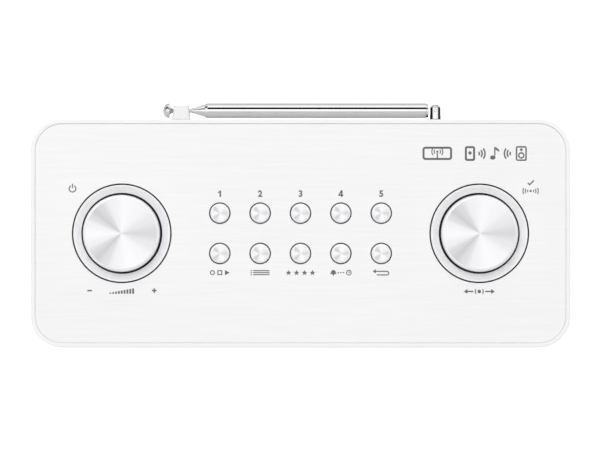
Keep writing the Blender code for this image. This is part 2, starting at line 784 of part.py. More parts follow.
def make_cables():
    """The ribbon from the control board down to the main board, and the antenna lead."""
    thickness = 0.8 * MM
    bottom = MAIN_BOARD_TOP + GAP
    top = CONTROL_BOARD_BOTTOM - GAP
    size = (20 * MM, thickness, top - bottom)
    block("ribbon_cable", size, (38 * MM, CASE_Y + 16 * MM, (top + bottom) / 2), "cable")
    stem_end = ANTENNA_Y - 17.6 * MM
    lead_start = (ANTENNA_X - 5.6 * MM, REAR_Y - 5.4 * MM, ANTENNA_Z - 1 * MM)
    tuner_top = MAIN_BOARD_TOP + 3.4 * MM + 2 * GAP
    route = [
        lead_start,
        (ANTENNA_X - 7 * MM, stem_end + 2 * MM, ANTENNA_Z - 14 * MM),
        (ANTENNA_X - 12 * MM, REAR_Y - 12 * MM, ANTENNA_Z - 34 * MM),
        (ANTENNA_X - 18 * MM, REAR_Y - 22 * MM, 36 * MM),
        (50 * MM, REAR_Y - 29 * MM, tuner_top + 7 * MM),
        (50 * MM, REAR_Y - 30 * MM, tuner_top + 0.5 * MM),
    ]
    cable("antenna_lead", route, 0.9 * MM, "cable")


# Antenna.


def make_antenna_mounts():
    """The bush in the rear wall that the post turns in, and the clip for the stowed rod."""
    wall_face = -(TUBE_GAP + TUBE_RADIUS)
    inner_face = wall_face - WALL
    bush = [
        (BUSH_RADIUS, wall_face - 0.1 * MM),
        (BUSH_RADIUS, inner_face - GAP),
        (7.5 * MM, inner_face - GAP),
        (7.5 * MM, inner_face - 2.3 * MM),
        (2.3 * MM, inner_face - 2.3 * MM),
        (2.3 * MM, wall_face - 0.1 * MM),
    ]
    turned("antenna_socket", bush, PIVOT, "+Y", "dark_plastic", steps=16, closed=True)

    base = 0.8 * MM
    reach = 7.7 * MM
    channel = 6.9 * MM
    arm = 1.6 * MM
    height = channel + 2 * arm
    foot_width = 9.6 * MM
    end_width = 7.6 * MM
    start = REAR_Y + GAP
    bm = bmesh.new()
    centre = (CLIP_X, start + (reach - GAP) / 2, ANTENNA_Z)
    add_block(bm, (foot_width, reach - GAP, height), centre, 1.2 * MM, along=1, segments=3)
    for vert in bm.verts:
        if vert.co.y > centre[1]:
            vert.co.x = CLIP_X + (vert.co.x - CLIP_X) * end_width / foot_width
    clip = solid("antenna_clip", bm, "white_plastic", (CLIP_X, start, ANTENNA_Z))
    groove = bmesh.new()
    depth = 20 * MM
    add_block(groove, (30 * MM, depth, channel), (CLIP_X, start + base + depth / 2, ANTENNA_Z))
    cut(clip, groove)
    tab = bmesh.new()
    length = WALL + 2 * GAP + base / 2
    add_block(tab, (CLIP_TAB, length, CLIP_TAB), (CLIP_X, start + base / 2 - length / 2, ANTENNA_Z))
    join(clip, tab)


def make_antenna_post():
    """The post turns in the rear wall; its fork holds the tilt pin."""
    wall_face = -(TUBE_GAP + TUBE_RADIUS)
    groove_front = wall_face - WALL - 2.9 * MM
    post = [
        (0, POST_END),
        (1.2 * MM, 3.25 * MM),
        (2.2 * MM, 2.55 * MM),
        (2.75 * MM, 1.6 * MM),
        (POST_RADIUS, 0.6 * MM),
        (POST_RADIUS, wall_face + GAP),
        (STEM_RADIUS, wall_face + GAP),
        (STEM_RADIUS, groove_front),
        (1.5 * MM, groove_front),
        (1.5 * MM, groove_front - 1.4 * MM),
        (STEM_RADIUS, groove_front - 1.4 * MM),
        (STEM_RADIUS, groove_front - 3 * MM),
        (0, groove_front - 3 * MM),
    ]
    fork = turned("antenna_post", post, PIVOT, "+Y", "chrome", steps=16)
    slot_height = 1.9 * MM
    slot_start = -2.6 * MM
    slot_end = 5 * MM
    slot = bmesh.new()
    middle = PIVOT + Vector((0, (slot_start + slot_end) / 2, 0))
    add_block(slot, (9 * MM, slot_end - slot_start, slot_height), middle)
    cut(fork, slot)
    hole = bmesh.new()
    add_cylinder(hole, PIN_HOLE, 9 * MM, PIVOT, segments=12)
    cut(fork, hole)
    pin = bmesh.new()
    add_cylinder(pin, PIN_RADIUS, 6.1 * MM, PIVOT, segments=12)
    attach(solid("antenna_pin", pin, "chrome", PIVOT), fork)
    ring = [
        (4 * MM, groove_front - 0.25 * MM),
        (4 * MM, groove_front - 1.15 * MM),
        (1.75 * MM, groove_front - 1.15 * MM),
        (1.75 * MM, groove_front - 0.25 * MM),
    ]
    clip = turned("antenna_retaining_ring", ring, PIVOT, "+Y", "steel", steps=12, closed=True)
    attach(clip, fork)
    return fork


# Outer radius, bore, mouth bore, stop radius and stowed start and end of each inner section.
SECTIONS = (
    ("antenna_section_2", 3.1 * MM, 2.7 * MM, 2.5 * MM, 3.4 * MM, 9 * MM, 124.3 * MM),
    ("antenna_section_3", 2.4 * MM, 2.1 * MM, 1.85 * MM, 2.6 * MM, 12 * MM, 126.5 * MM),
    ("antenna_section_4", 1.75 * MM, 1.45 * MM, 1.2 * MM, 2.0 * MM, 15 * MM, 128.8 * MM),
)


def make_antenna_tube(fork):
    """The outer tube: a crimped mouth at one end, a tongue for the fork at the other."""
    profile = [
        (0, TUBE_START + 4 * MM),
        (3.5 * MM, TUBE_START + 4 * MM),
        (3.5 * MM, TUBE_SHOULDER + 0.2 * MM),
        (3.2 * MM, TUBE_SHOULDER + 0.6 * MM),
        (3.2 * MM, TUBE_SHOULDER + 1.5 * MM),
        (3.45 * MM, TUBE_SHOULDER + 1.5 * MM),
        (TUBE_RADIUS, TUBE_SHOULDER),
        (TUBE_RADIUS, 4.9 * MM),
        (3.6 * MM, 4.8 * MM),
        (3.6 * MM, TUBE_START),
        (0, TUBE_START),
    ]
    tube = turned("antenna_tube", profile, PIVOT, "-X", "chrome", steps=16)
    tongue = bmesh.new()
    thickness = 1.5 * MM
    length = TUBE_START + 1 * MM
    middle = PIVOT - Vector((length / 2, 0, 0))
    add_block(tongue, (length, 4.4 * MM, thickness), middle)
    join(tube, tongue)
    knuckle = bmesh.new()
    add_cylinder(knuckle, 2.2 * MM, thickness, PIVOT, segments=16)
    join(tube, knuckle)
    hole = bmesh.new()
    add_cylinder(hole, PIN_HOLE, 9 * MM, PIVOT, segments=12)
    cut(tube, hole)
    attach(tube, fork)
    return tube


def make_antenna_sections(tube):
    """The sections that slide in each other, down to the thin rod with its button."""
    holder = tube
    taper = 2.2 * MM
    for name, radius, bore, mouth, stop, start, end in SECTIONS:
        profile = [
            (mouth, end),
            (mouth + 0.3 * MM, end),
            (radius, end - taper),
            (radius, start + 3 * MM),
            (stop, start + 3 * MM),
            (stop, start),
            (bore, start),
            (bore, end - taper),
            (mouth, end - taper + 0.5 * MM),
        ]
        section = turned(name, profile, PIVOT, "-X", "chrome", steps=12, closed=True)
        attach(section, holder)
        holder = section
    rod_radius = 1.1 * MM
    rod = [
        (0, TIP_END),
        (1.6 * MM, TIP_END - 0.3 * MM),
        (2.9 * MM, TIP_END - 1.1 * MM),
        (3.7 * MM, TIP_END - 2.2 * MM),
        (TUBE_RADIUS, TIP_END - 2.9 * MM),
        (3.8 * MM, TIP_END - 3.4 * MM),
        (2 * MM, TIP_END - 3.5 * MM),
        (1.2 * MM, TIP_NECK),
        (rod_radius, TIP_NECK - 0.4 * MM),
        (rod_radius, 21 * MM),
        (1.35 * MM, 21 * MM),
        (1.35 * MM, 18 * MM),
        (0, 18 * MM),
    ]
    attach(turned("antenna_rod", rod, PIVOT, "-X", "chrome", steps=12), holder)


make_cabinet_shell()
make_base()
make_top_panel()
make_control_frame()
make_bezels()
make_buttons()
make_knobs()
make_grille()
make_baffle()
make_display()
make_speakers()
make_control_board()
make_encoders()
make_main_board()
make_sockets()
make_cables()
make_antenna_mounts()
make_antenna_sections(make_antenna_tube(make_antenna_post()))
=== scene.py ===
"""Looks of the tabletop radio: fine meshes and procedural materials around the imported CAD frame.

Lengths are metres.  +X is the radio's right, its front faces -Y and +Z is up.
"""

import math

import bmesh
import bpy
from mathutils import Matrix, Vector


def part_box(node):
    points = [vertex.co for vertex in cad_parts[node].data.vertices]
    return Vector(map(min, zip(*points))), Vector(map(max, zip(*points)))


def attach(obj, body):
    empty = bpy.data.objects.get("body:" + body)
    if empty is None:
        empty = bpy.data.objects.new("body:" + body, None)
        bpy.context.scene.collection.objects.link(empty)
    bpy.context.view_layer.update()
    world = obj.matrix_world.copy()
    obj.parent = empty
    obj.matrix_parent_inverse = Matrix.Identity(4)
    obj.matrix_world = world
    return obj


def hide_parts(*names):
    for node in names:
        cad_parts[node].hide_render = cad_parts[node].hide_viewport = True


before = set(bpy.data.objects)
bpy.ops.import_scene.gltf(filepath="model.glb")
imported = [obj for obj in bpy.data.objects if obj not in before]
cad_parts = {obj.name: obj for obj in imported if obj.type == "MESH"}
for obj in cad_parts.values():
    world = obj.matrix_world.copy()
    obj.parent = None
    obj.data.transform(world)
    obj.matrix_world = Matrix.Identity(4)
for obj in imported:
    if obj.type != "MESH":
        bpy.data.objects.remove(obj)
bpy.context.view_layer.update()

MM = 0.001


def middle(node):
    low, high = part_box(node)
    return (low + high) / 2


# Places and sizes read from the frame.
SHELL_LOW, SHELL_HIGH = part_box("cabinet_shell")
CASE_Y = middle("cabinet_shell").y
FRONT_Y = SHELL_LOW.y
REAR_Y = SHELL_HIGH.y
PANEL_LOW, PANEL_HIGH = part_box("top_panel")
PANEL_TOP = PANEL_HIGH.z
WELL_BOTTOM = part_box("control_frame")[0].z
GRILLE_LOW, GRILLE_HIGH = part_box("front_grille")
PIVOT = middle("antenna_pin")
POST_LOW, POST_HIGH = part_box("antenna_post")
POST_RADIUS = (POST_HIGH.x - POST_LOW.x) / 2
BUTTONS = [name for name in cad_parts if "_button" in name]
KNOBS = ("volume", "navigate")
SPEAKERS = ("speaker_left", "speaker_right")
CORNERS = ("front_left", "front_right", "rear_left", "rear_right")
JACKS = ("aux_jack", "headphone_jack")

# Sizes that the boxes don't give.
WALL = 2.1 * MM
GAP = 0.3 * MM
CASE_CORNER = 16.7 * MM
INNER_CORNER = CASE_CORNER - WALL
GRILLE_CORNER = 8 * MM
BUTTON_HOLE = 5.68 * MM
BEZEL_HOLE = 26.25 * MM
WELL_FLOOR = WELL_BOTTOM + 2 * MM
PLATE_TOP = PANEL_LOW.z - GAP
PLATE_THICKNESS = 2.2 * MM
BUTTON_RADIUS = 5 * MM
BUTTON_BORE = BUTTON_RADIUS + 0.2 * MM
SHAFT_HOLE = 4.2 * MM
BUSH_RADIUS = 4.6 * MM
SCREW_BORE = 1.8 * MM
PIN_HOLE = 0.95 * MM
INK_THICKNESS = 0.03 * MM
TINY = 0.001 * MM

# The camera hangs over the panel, far enough for a nearly flat picture.
CAMERA_RISE = 2.2
CAMERA_X = -0.27 * MM
CAMERA_Y = CASE_Y + 4.38 * MM
VIEW_WIDTH = 0.3158
SENSOR = 36.0

# The overhead light, and the floor with the veil of light on it.
KEY_PLACE = (-0.25, 0.85, 2.0)
KEY_AIM = (0, 0, 0.1)
KEY_SIZE = 1.1
KEY_POWER = 16.6
FLOOR_REACH = 6
VEIL_GLOW = 0.7


def at_height(node, z=0):
    """The middle of a node, moved to a height."""
    centre = middle(node)
    return Vector((centre.x, centre.y, z))


def at_depth(node, y):
    """The middle of a node, moved forwards or back."""
    centre = middle(node)
    return Vector((centre.x, y, centre.z))


def knob_place(knob, z=0):
    return Vector((middle(f"{knob}_knob").x, CASE_Y, z))


# Nodes of materials and of the world.


class Nodes:
    """Adds nodes to a tree and links them."""

    def __init__(self, tree):
        self.tree = tree

    def node(self, kind, **settings):
        node = self.tree.nodes.new(kind)
        for key, value in settings.items():
            setattr(node, key, value)
        return node

    def link(self, output, target):
        self.tree.links.new(output, target)

    def axes(self, vector):
        """The X, Y and Z of a vector."""
        parts = self.node("ShaderNodeSeparateXYZ")
        self.link(vector, parts.inputs["Vector"])
        return [parts.outputs[axis] for axis in "XYZ"]

    def math(self, operation, first, second=0.0):
        node = self.node("ShaderNodeMath", operation=operation)
        for socket, value in zip(node.inputs, (first, second)):
            if isinstance(value, (int, float)):
                socket.default_value = value
            else:
                self.link(value, socket)
        return node.outputs["Value"]

    def spread(self, value, low, high, start=0.3, end=0.7, **settings):
        """Carries a value from the range start to end over to the range low to high."""
        node = self.node("ShaderNodeMapRange", **settings)
        ends = {"From Min": start, "From Max": end, "To Min": low, "To Max": high}
        for name, number in ends.items():
            node.inputs[name].default_value = number
        self.link(value, node.inputs["Value"])
        return node.outputs["Result"]

    def ramp(self, value, stops, interpolation="LINEAR"):
        """Grey that follows a value through stops of (position, brightness)."""
        node = self.node("ShaderNodeValToRGB")
        node.color_ramp.interpolation = interpolation
        elements = node.color_ramp.elements
        elements.remove(elements[-1])
        for i, (position, grey) in enumerate(stops):
            element = elements[0] if i == 0 else elements.new(position)
            element.position = position
            element.color = (grey, grey, grey, 1.0)
        self.link(value, node.inputs["Fac"])
        return node.outputs["Color"]


# Camera, light and floor.


def add_object(name, data, location=(0, 0, 0)):
    obj = bpy.data.objects.new(name, data)
    obj.location = location
    bpy.context.scene.collection.objects.link(obj)
    return obj


def make_camera():
    data = bpy.data.cameras.new("camera")
    data.sensor_width = SENSOR
    data.lens = SENSOR * CAMERA_RISE / VIEW_WIDTH
    place = (CAMERA_X, CAMERA_Y, PANEL_TOP + CAMERA_RISE)
    bpy.context.scene.camera = add_object("camera", data, place)
    bpy.context.scene.view_settings.view_transform = "Standard"


# Studio brightness by the angle from overhead: + towards the rear, - towards the front.
STUDIO_BANDS = (
    (-180, 1.0), (-84, 1.0), (-76, 0.6), (-60, 0.55), (-42, 0.42), (-27, 0.33), (-16, 0.5),
    (-9, 1.2), (19, 1.2), (22, 0.0), (47, 0.0), (54, 1.15), (75, 1.1), (180, 1.0),
)

# Brightness of the two sides by the upward part of the direction, with a dark flag on each.
STUDIO_SIDES = ((0.0, 1.0), (0.1, 1.0), (0.15, 0.02), (0.48, 0.02), (0.54, 0.95), (1.0, 1.05))

# Sideways part of the direction over which the bands give way to the sides.
SIDE_BLEND = (0.2, 0.45)


def make_world():
    """A white tent with a dark strip behind, a grey one in front and a dark flag on each side."""
    world = bpy.data.worlds.new("studio")
    bpy.context.scene.world = world
    world.use_nodes = True
    sky = Nodes(world.node_tree)
    x, y, z = sky.axes(sky.node("ShaderNodeTexCoord").outputs["Generated"])
    angle = sky.spread(sky.math("ARCTAN2", y, z), 0.0, 1.0, -math.pi, math.pi)
    aside = sky.math("ABSOLUTE", x)
    mix = sky.node("ShaderNodeMix", data_type="RGBA")
    factor, bands, sides = (mix.inputs[i] for i in (0, 6, 7))
    sky.link(sky.spread(aside, 0.0, 1.0, *SIDE_BLEND, interpolation_type="SMOOTHSTEP"), factor)
    sky.link(sky.ramp(angle, [((degrees + 180) / 360, grey) for degrees, grey in STUDIO_BANDS]), bands)
    sky.link(sky.ramp(z, STUDIO_SIDES), sides)
    sky.link(mix.outputs[2], sky.tree.nodes["Background"].inputs["Color"])


def make_light():
    """One large soft light overhead, a little behind the radio."""
    data = bpy.data.lights.new("key", "AREA")
    data.shape = "DISK"
    data.size = KEY_SIZE
    data.energy = KEY_POWER
    light = add_object("key", data, KEY_PLACE)
    light.visible_glossy = False
    light.visible_camera = False
    aim = Vector(KEY_AIM) - light.location
    light.rotation_euler = aim.to_track_quat("-Z", "Y").to_euler()


def make_plane(name, height, material):
    bm = bmesh.new()
    bmesh.ops.create_grid(bm, x_segments=1, y_segments=1, size=FLOOR_REACH)
    plane = add_object(name, as_mesh(name, bm), (0, 0, height))
    plane.data.materials.append(material)
    return plane


def make_floor():
    """Pale paper, and a veil of light over it that whitens it without lighting the radio."""
    paper = Surface("floor_paper", (0.62, 0.62, 0.62), 0.9)
    paper.tint(paper.spread(paper.noise(3), 0.995, 1.005))
    make_plane("floor", 0, paper.material)

    veil = bpy.data.materials.new("floor_veil")
    veil.use_nodes = True
    veil.node_tree.nodes.clear()
    film = Nodes(veil.node_tree)
    clear = film.node("ShaderNodeBsdfTransparent")
    glow = film.node("ShaderNodeEmission")
    glow.inputs["Strength"].default_value = VEIL_GLOW
    both = film.node("ShaderNodeAddShader")
    film.link(clear.outputs["BSDF"], both.inputs[0])
    film.link(glow.outputs["Emission"], both.inputs[1])
    film.link(both.outputs["Shader"], film.node("ShaderNodeOutputMaterial").inputs["Surface"])
    plane = make_plane("floor_veil", 0.05 * MM, veil)
    plane.visible_diffuse = False
    plane.visible_glossy = False
    plane.visible_shadow = False


# Profiles: points of (inset or radius, height).


def cylinder(radius, bottom, top):
    return [(0, bottom), (radius, bottom), (radius, top), (0, top)]


def rounded(points, radius=0.25 * MM, steps=4, closed=False):
    """Rounds a profile's corners; a point may give its own radius as a third number."""
    places = [Vector(p[:2]) for p in points]
    radii = [p[2] if len(p) > 2 else radius for p in points]
    result = []
    for i, place in enumerate(places):
        if not closed and i in (0, len(places) - 1):
            result.append(tuple(place))
            continue
        before = places[i - 1] - place
        after = places[(i + 1) % len(places)] - place
        angle = before.angle(after)
        if radii[i] < TINY or angle > math.radians(176):
            result.append(tuple(place))
            continue
        reach = min(radii[i] / math.tan(angle / 2), 0.49 * before.length, 0.49 * after.length)
        start = place + before.normalized() * reach
        end = place + after.normalized() * reach
        for k in range(steps + 1):
            t = k / steps
            result.append(tuple(start * (1 - t) ** 2 + place * 2 * t * (1 - t) + end * t**2))
    return result


def slab(thickness, inset, edge, front_inset=None, front_edge=None, steps=4):
    """A plate with rounded edges, whose front may have its own inset and edge."""
    front_inset = inset if front_inset is None else front_inset
    front_edge = edge if front_edge is None else front_edge
    corners = [(inset, 0), (0, 0), (0, thickness, front_edge), (front_inset, thickness)]
    return rounded(corners, edge, steps)


def mouth(radius, depth, steps=4):
    """A cutter for a hole whose outer edge is rounded over."""
    points = [(0, -depth)]
    for k in range(steps + 1):
        rise = radius * k / steps
        points.append((math.sqrt(max(radius**2 - rise**2, 0)) - radius, rise - radius))
    points.append((-radius, 1 * MM))
    return points


# Shapes: bmeshes in world coordinates.

TOWARDS = {
    "-X": Vector((-1, 0, 0)),
    "+Y": Vector((0, 1, 0)),
    "-Y": Vector((0, -1, 0)),
    "+Z": Vector((0, 0, 1)),
}


def placed(shape, place, along):
    """Faces a shape outwards, turns its +Z towards a named direction and moves it to a place."""
    bmesh.ops.recalc_face_normals(shape, faces=shape.faces)
    facing = TOWARDS["+Z"].rotation_difference(TOWARDS[along]).to_matrix().to_4x4()
    shape.transform(Matrix.Translation(place) @ facing)
    return shape


def block(size, centre):
    shape = bmesh.new()
    bmesh.ops.create_cube(shape, size=1.0)
    bmesh.ops.scale(shape, vec=size, verts=shape.verts)
    bmesh.ops.translate(shape, vec=centre, verts=shape.verts)
    return shape


def rounded_loop(size, corner, inset, segments):
    """Points round a rounded rectangle that is pulled in by an inset."""
    radius = max(corner - inset, 0.02 * MM)
    half_x = size[0] / 2 - inset - radius
    half_y = size[1] / 2 - inset - radius
    points = []
    for quarter, (side, end) in enumerate(((1, 1), (-1, 1), (-1, -1), (1, -1))):
        for k in range(segments + 1):
            angle = (quarter + k / segments) * math.pi / 2
            x = side * half_x + radius * math.cos(angle)
            points.append((x, end * half_y + radius * math.sin(angle)))
    return points


def bridge(shape, lower, upper):
    """Joins two loops of equal length with a band of faces."""
    for i in range(len(lower)):
        j = (i + 1) % len(lower)
        shape.faces.new((lower[i], lower[j], upper[j], upper[i]))


def neighbours(items, closed):
    """Each item with the next, and the last with the first when they close a ring."""
    pairs = list(zip(items, items[1:]))
    return pairs + [(items[-1], items[0])] if closed else pairs


def loft(size, corner, profile, place, along="+Z", segments=16, ring=False):
    """Carries a rounded rectangle through a profile."""
    shape = bmesh.new()
    loops = []
    for inset, height in profile:
        outline = rounded_loop(size, corner, inset, segments)
        loops.append([shape.verts.new((x, y, height)) for x, y in outline])
    if not ring:
        shape.faces.new(loops[0])
        shape.faces.new(loops[-1])
    for lower, upper in neighbours(loops, ring):
        bridge(shape, lower, upper)
    return placed(shape, place, along)


def turn(profile, place, along="+Z", steps=64, closed=False):
    """Turns a profile about a line through a place."""
    shape = bmesh.new()
    angles = [2 * math.pi * i / steps for i in range(steps)]
    rings = []
    for radius, height in profile:
        if radius < TINY:
            points = [(0, 0, height)]
        else:
            points = [(radius * math.cos(a), radius * math.sin(a), height) for a in angles]
        rings.append([shape.verts.new(point) for point in points])
    for first, second in neighbours(rings, closed):
        for i in range(steps):
            j = (i + 1) % steps
            corners = [first[i % len(first)], first[j % len(first)]]
            corners += [second[j % len(second)], second[i % len(second)]]
            corners = list(dict.fromkeys(corners))
            if len(corners) > 2:
                shape.faces.new(corners)
    return placed(shape, place, along)


def bore(radius, edge, depth, place, along="+Z", steps=64):
    """A round cutter that goes down from a place and rounds the hole's edge over."""
    profile = [(radius - inset, height) for inset, height in mouth(edge, depth)]
    return turn([(0, -depth), *profile, (0, profile[-1][1])], place, along, steps)


# Objects.


def as_mesh(name, bm):
    mesh = bpy.data.meshes.new(name)
    bm.to_mesh(mesh)
    bm.free()
    return mesh


def to_object(name, shape, location=(0, 0, 0)):
    """An object made of a shape, with its origin at a location."""
    bmesh.ops.translate(shape, vec=-Vector(location), verts=shape.verts)
    return add_object(name, as_mesh(name, shape), location)


def evaluated_mesh(obj):
    bpy.context.view_layer.update()
    evaluated = obj.evaluated_get(bpy.context.evaluated_depsgraph_get())
    return bpy.data.meshes.new_from_object(evaluated)


def apply_modifiers(obj):
    mesh = evaluated_mesh(obj)
    obj.modifiers.clear()
    obj.data = mesh


def add_to(whole, shape):
    """Moves a shape into a larger one."""
    mesh = as_mesh("shape", shape)
    whole.from_mesh(mesh)
    bpy.data.meshes.remove(mesh)


def combine(obj, shapes, operation="DIFFERENCE"):
    """Cuts shapes from an object, or joins them on."""
    whole = bmesh.new()
    for shape in shapes:
        add_to(whole, shape)
    tool = to_object("tool", whole)
    modifier = obj.modifiers.new("Combine", "BOOLEAN")
    modifier.operation = operation
    modifier.solver = "EXACT"
    modifier.object = tool
    apply_modifiers(obj)
    bpy.data.objects.remove(tool)


def soften(obj, width, segments, angle):
    """Rounds an object's sharp edges."""
    modifier = obj.modifiers.new("Edges", "BEVEL")
    modifier.width = width
    modifier.segments = segments
    modifier.limit_method = "ANGLE"
    modifier.angle_limit = math.radians(angle)
    apply_modifiers(obj)


def dress(obj, body, material, node=None, smooth=35):
    """Gives a piece its shading, material and body, and hides the node that it replaces."""
    obj.data.shade_smooth()
    obj.data.set_sharp_from_angle(angle=math.radians(smooth))
    flat = obj.modifiers.new("Flat faces", "WEIGHTED_NORMAL")
    flat.keep_sharp = True
    apply_modifiers(obj)
    obj.data.materials.clear()
    obj.data.materials.append(MATERIALS[material])
    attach(obj, body)
    if node:
        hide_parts(node)
    return obj


def lathe(node, profile, place, along, body, material, steps=96, closed=False, curve=4):
    """A turned piece that replaces a node; a curve is the steps round each of its corners."""
    shape = turn(rounded(profile, steps=curve, closed=closed), place, along, steps, closed)
    return dress(to_object(f"{node}_fine", shape, place), body, material, node)


def inner_plate(node, profile, bottom, origin, segments=32):
    """A plate between the cabinet's walls; bottom and origin are heights."""
    low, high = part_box(node)
    place = (0, CASE_Y, bottom)
    shape = loft(high - low, INNER_CORNER - GAP, profile, place, segments=segments)
    return to_object(f"{node}_fine", shape, (0, CASE_Y, origin))


def wall_piece(node, corner, profile, along, segments):
    """A piece as wide and high as its node, whose profile runs outwards from its inner face."""
    low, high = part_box(node)
    size = high - low
    inner_face = low.y if along == "+Y" else high.y
    shape = loft((size.x, size.z), corner, profile, at_depth(node, inner_face), along, segments)
    return to_object(f"{node}_fine", shape, middle(node))


def paint(obj, material, test):
    """Gives another material to the faces whose middle passes a test of (radius, height)."""
    obj.data.materials.append(MATERIALS[material])
    for face in obj.data.polygons:
        if test(face.center.xy.length, face.center.z):
            face.material_index = len(obj.data.materials) - 1


# Materials.


class Surface(Nodes):
    """A Principled material, with small helpers for what varies over it."""

    def __init__(self, name, colour, roughness, metallic=0.0):
        self.material = bpy.data.materials.new(name)
        self.material.use_nodes = True
        super().__init__(self.material.node_tree)
        self.inputs = self.tree.nodes["Principled BSDF"].inputs
        self.inputs["Base Color"].default_value = (*colour, 1.0)
        self.inputs["Roughness"].default_value = roughness
        self.inputs["Metallic"].default_value = metallic
        self.colour = colour

    def coordinates(self, scale=(1, 1, 1)):
        mapping = self.node("ShaderNodeMapping")
        mapping.inputs["Scale"].default_value = scale
        self.link(self.node("ShaderNodeTexCoord").outputs["Object"], mapping.inputs["Vector"])
        return mapping.outputs["Vector"]

    def noise(self, scale, stretch=(1, 1, 1), detail=3.0):
        node = self.node("ShaderNodeTexNoise")
        node.inputs["Scale"].default_value = scale
        node.inputs["Detail"].default_value = detail
        self.link(self.coordinates(stretch), node.inputs["Vector"])
        return node.outputs["Fac"]

    def tint(self, factor):
        """Multiplies the colour by a factor that varies over the surface."""
        node = self.node("ShaderNodeVectorMath", operation="SCALE")
        node.inputs[0].default_value = self.colour
        self.link(factor, node.inputs["Scale"])
        self.link(node.outputs["Vector"], self.inputs["Base Color"])

    def rough(self, value):
        self.link(value, self.inputs["Roughness"])

    def bump(self, height, strength, distance):
        node = self.node("ShaderNodeBump")
        node.inputs["Strength"].default_value = strength
        node.inputs["Distance"].default_value = distance
        self.link(height, node.inputs["Height"])
        self.link(node.outputs["Normal"], self.inputs["Normal"])


def moulded(name, colour, roughness, grain=3000, relief=0.15, clouding=0.012):
    """Moulded plastic, rubber or paper: fine grain, slight clouding."""
    surface = Surface(name, colour, roughness)
    fine = surface.noise(grain, detail=2.0)
    surface.tint(surface.spread(surface.noise(14, detail=2.0), 1 - clouding, 1 + clouding))
    surface.rough(surface.spread(fine, roughness - 0.05, roughness + 0.06))
    surface.bump(fine, relief, 0.02 * MM)
    return surface.material


def brushed(name, colour):
    """Film with long fine lines along X."""
    surface = Surface(name, colour, 0.34, 0.25)
    fine = surface.noise(1.0, (38, 1500, 40))
    broad = surface.noise(1.0, (14, 480, 20), detail=2.0)
    cloud = surface.noise(1.0, (5, 9, 5), detail=1.0)
    lines = surface.math("ADD", surface.spread(fine, -0.02, 0.02), surface.spread(broad, -0.012, 0.012))
    surface.tint(surface.math("ADD", lines, surface.spread(cloud, 0.994, 1.006)))
    surface.rough(surface.spread(fine, 0.3, 0.4))
    surface.bump(fine, 0.05, 0.02 * MM)
    return surface.material


# Painted reflections on spun faces: azimuth from +X towards +Y in degrees, and brightness, of the light
# and dark wedges painted about the centre.
SPUN_PAINTED_WEDGES = (
    (0, 0.73), (25, 0.86), (50, 0.96), (80, 1.0), (108, 0.93), (128, 0.74), (140, 0.66),
    (151, 0.77), (163, 0.94), (182, 1.0), (200, 0.92), (214, 0.74), (225, 0.65),
    (240, 0.77), (258, 0.93), (285, 1.0), (315, 0.97), (340, 0.85), (360, 0.73),
)


def spun(name, centre=None, rings=1400):
    """Turned metal: wedges of painted reflection about the centre, and fine rings.

    With a centre the painted reflection stays where it is as the piece turns, as real reflections do.
    """
    surface = Surface(name, (0.93, 0.93, 0.95), 0.3, 0.5)
    if centre is None:
        place = surface.coordinates()
    else:
        shift = surface.node("ShaderNodeVectorMath", operation="SUBTRACT")
        shift.inputs[1].default_value = centre
        surface.link(surface.node("ShaderNodeNewGeometry").outputs["Position"], shift.inputs[0])
        place = shift.outputs["Vector"]
    x, y, _ = surface.axes(place)
    azimuth = surface.math("FRACT", surface.math("DIVIDE", surface.math("ARCTAN2", y, x), 2 * math.pi))
    # Painted reflection: the colour is made lighter and darker in wedges by azimuth.
    painted_wedges = surface.ramp(azimuth, [(degrees / 360, grey) for degrees, grey in SPUN_PAINTED_WEDGES], "EASE")
    squares = surface.math("ADD", surface.math("MULTIPLY", x, x), surface.math("MULTIPLY", y, y))
    grooves = surface.node("ShaderNodeTexNoise", noise_dimensions="1D")
    grooves.inputs["Scale"].default_value = rings
    grooves.inputs["Detail"].default_value = 2.0
    surface.link(surface.math("SQRT", squares), grooves.inputs["W"])
    fine = grooves.outputs["Fac"]
    surface.tint(surface.math("MULTIPLY", painted_wedges, surface.spread(fine, 0.997, 1.002)))
    surface.rough(surface.spread(fine, 0.28, 0.32))
    surface.bump(fine, 0.015, 0.01 * MM)
    return surface.material


def plated(name, colour, roughness, metallic=1.0):
    """Metal with a trace of handling marks in its roughness."""
    surface = Surface(name, colour, roughness, metallic)
    marks = surface.noise(260, detail=4.0)
    surface.rough(surface.spread(marks, roughness * 0.8, roughness * 1.35))
    surface.tint(surface.spread(surface.noise(40), 0.985, 1.01))
    return surface.material


def flanked(name, colour, roughness, radius):
    """Chrome barrel along Y with a painted dark reflection down each flank, below its dome."""
    surface = Surface(name, colour, roughness, 1.0)
    x, y, _ = surface.axes(surface.coordinates())
    # The colour is darkened in a band down each flank: a painted dark reflection.
    across = surface.math("DIVIDE", surface.math("ABSOLUTE", x), radius)
    inner = surface.spread(across, 0.0, 0.96, 0.46, 0.58)
    outer = surface.spread(across, 1.0, 0.3, 0.82, 0.94)
    painted_dark_reflection = surface.math("MULTIPLY", inner, outer)
    barrel = surface.spread(y, 1.0, 0.0, 1.2 * MM, 2.2 * MM)
    surface.tint(surface.math("SUBTRACT", 1.0, surface.math("MULTIPLY", painted_dark_reflection, barrel)))
    return surface.material


def turned(name, colour, roughness):
    """Satin metal side with fine turning lines around Z."""
    surface = Surface(name, colour, roughness, 0.85)
    lines = surface.noise(1.0, (12, 12, 2400), detail=2.0)
    surface.rough(surface.spread(lines, roughness - 0.04, roughness + 0.06))
    surface.tint(surface.spread(lines, 0.96, 1.01))
    surface.bump(lines, 0.05, 0.01 * MM)
    return surface.material


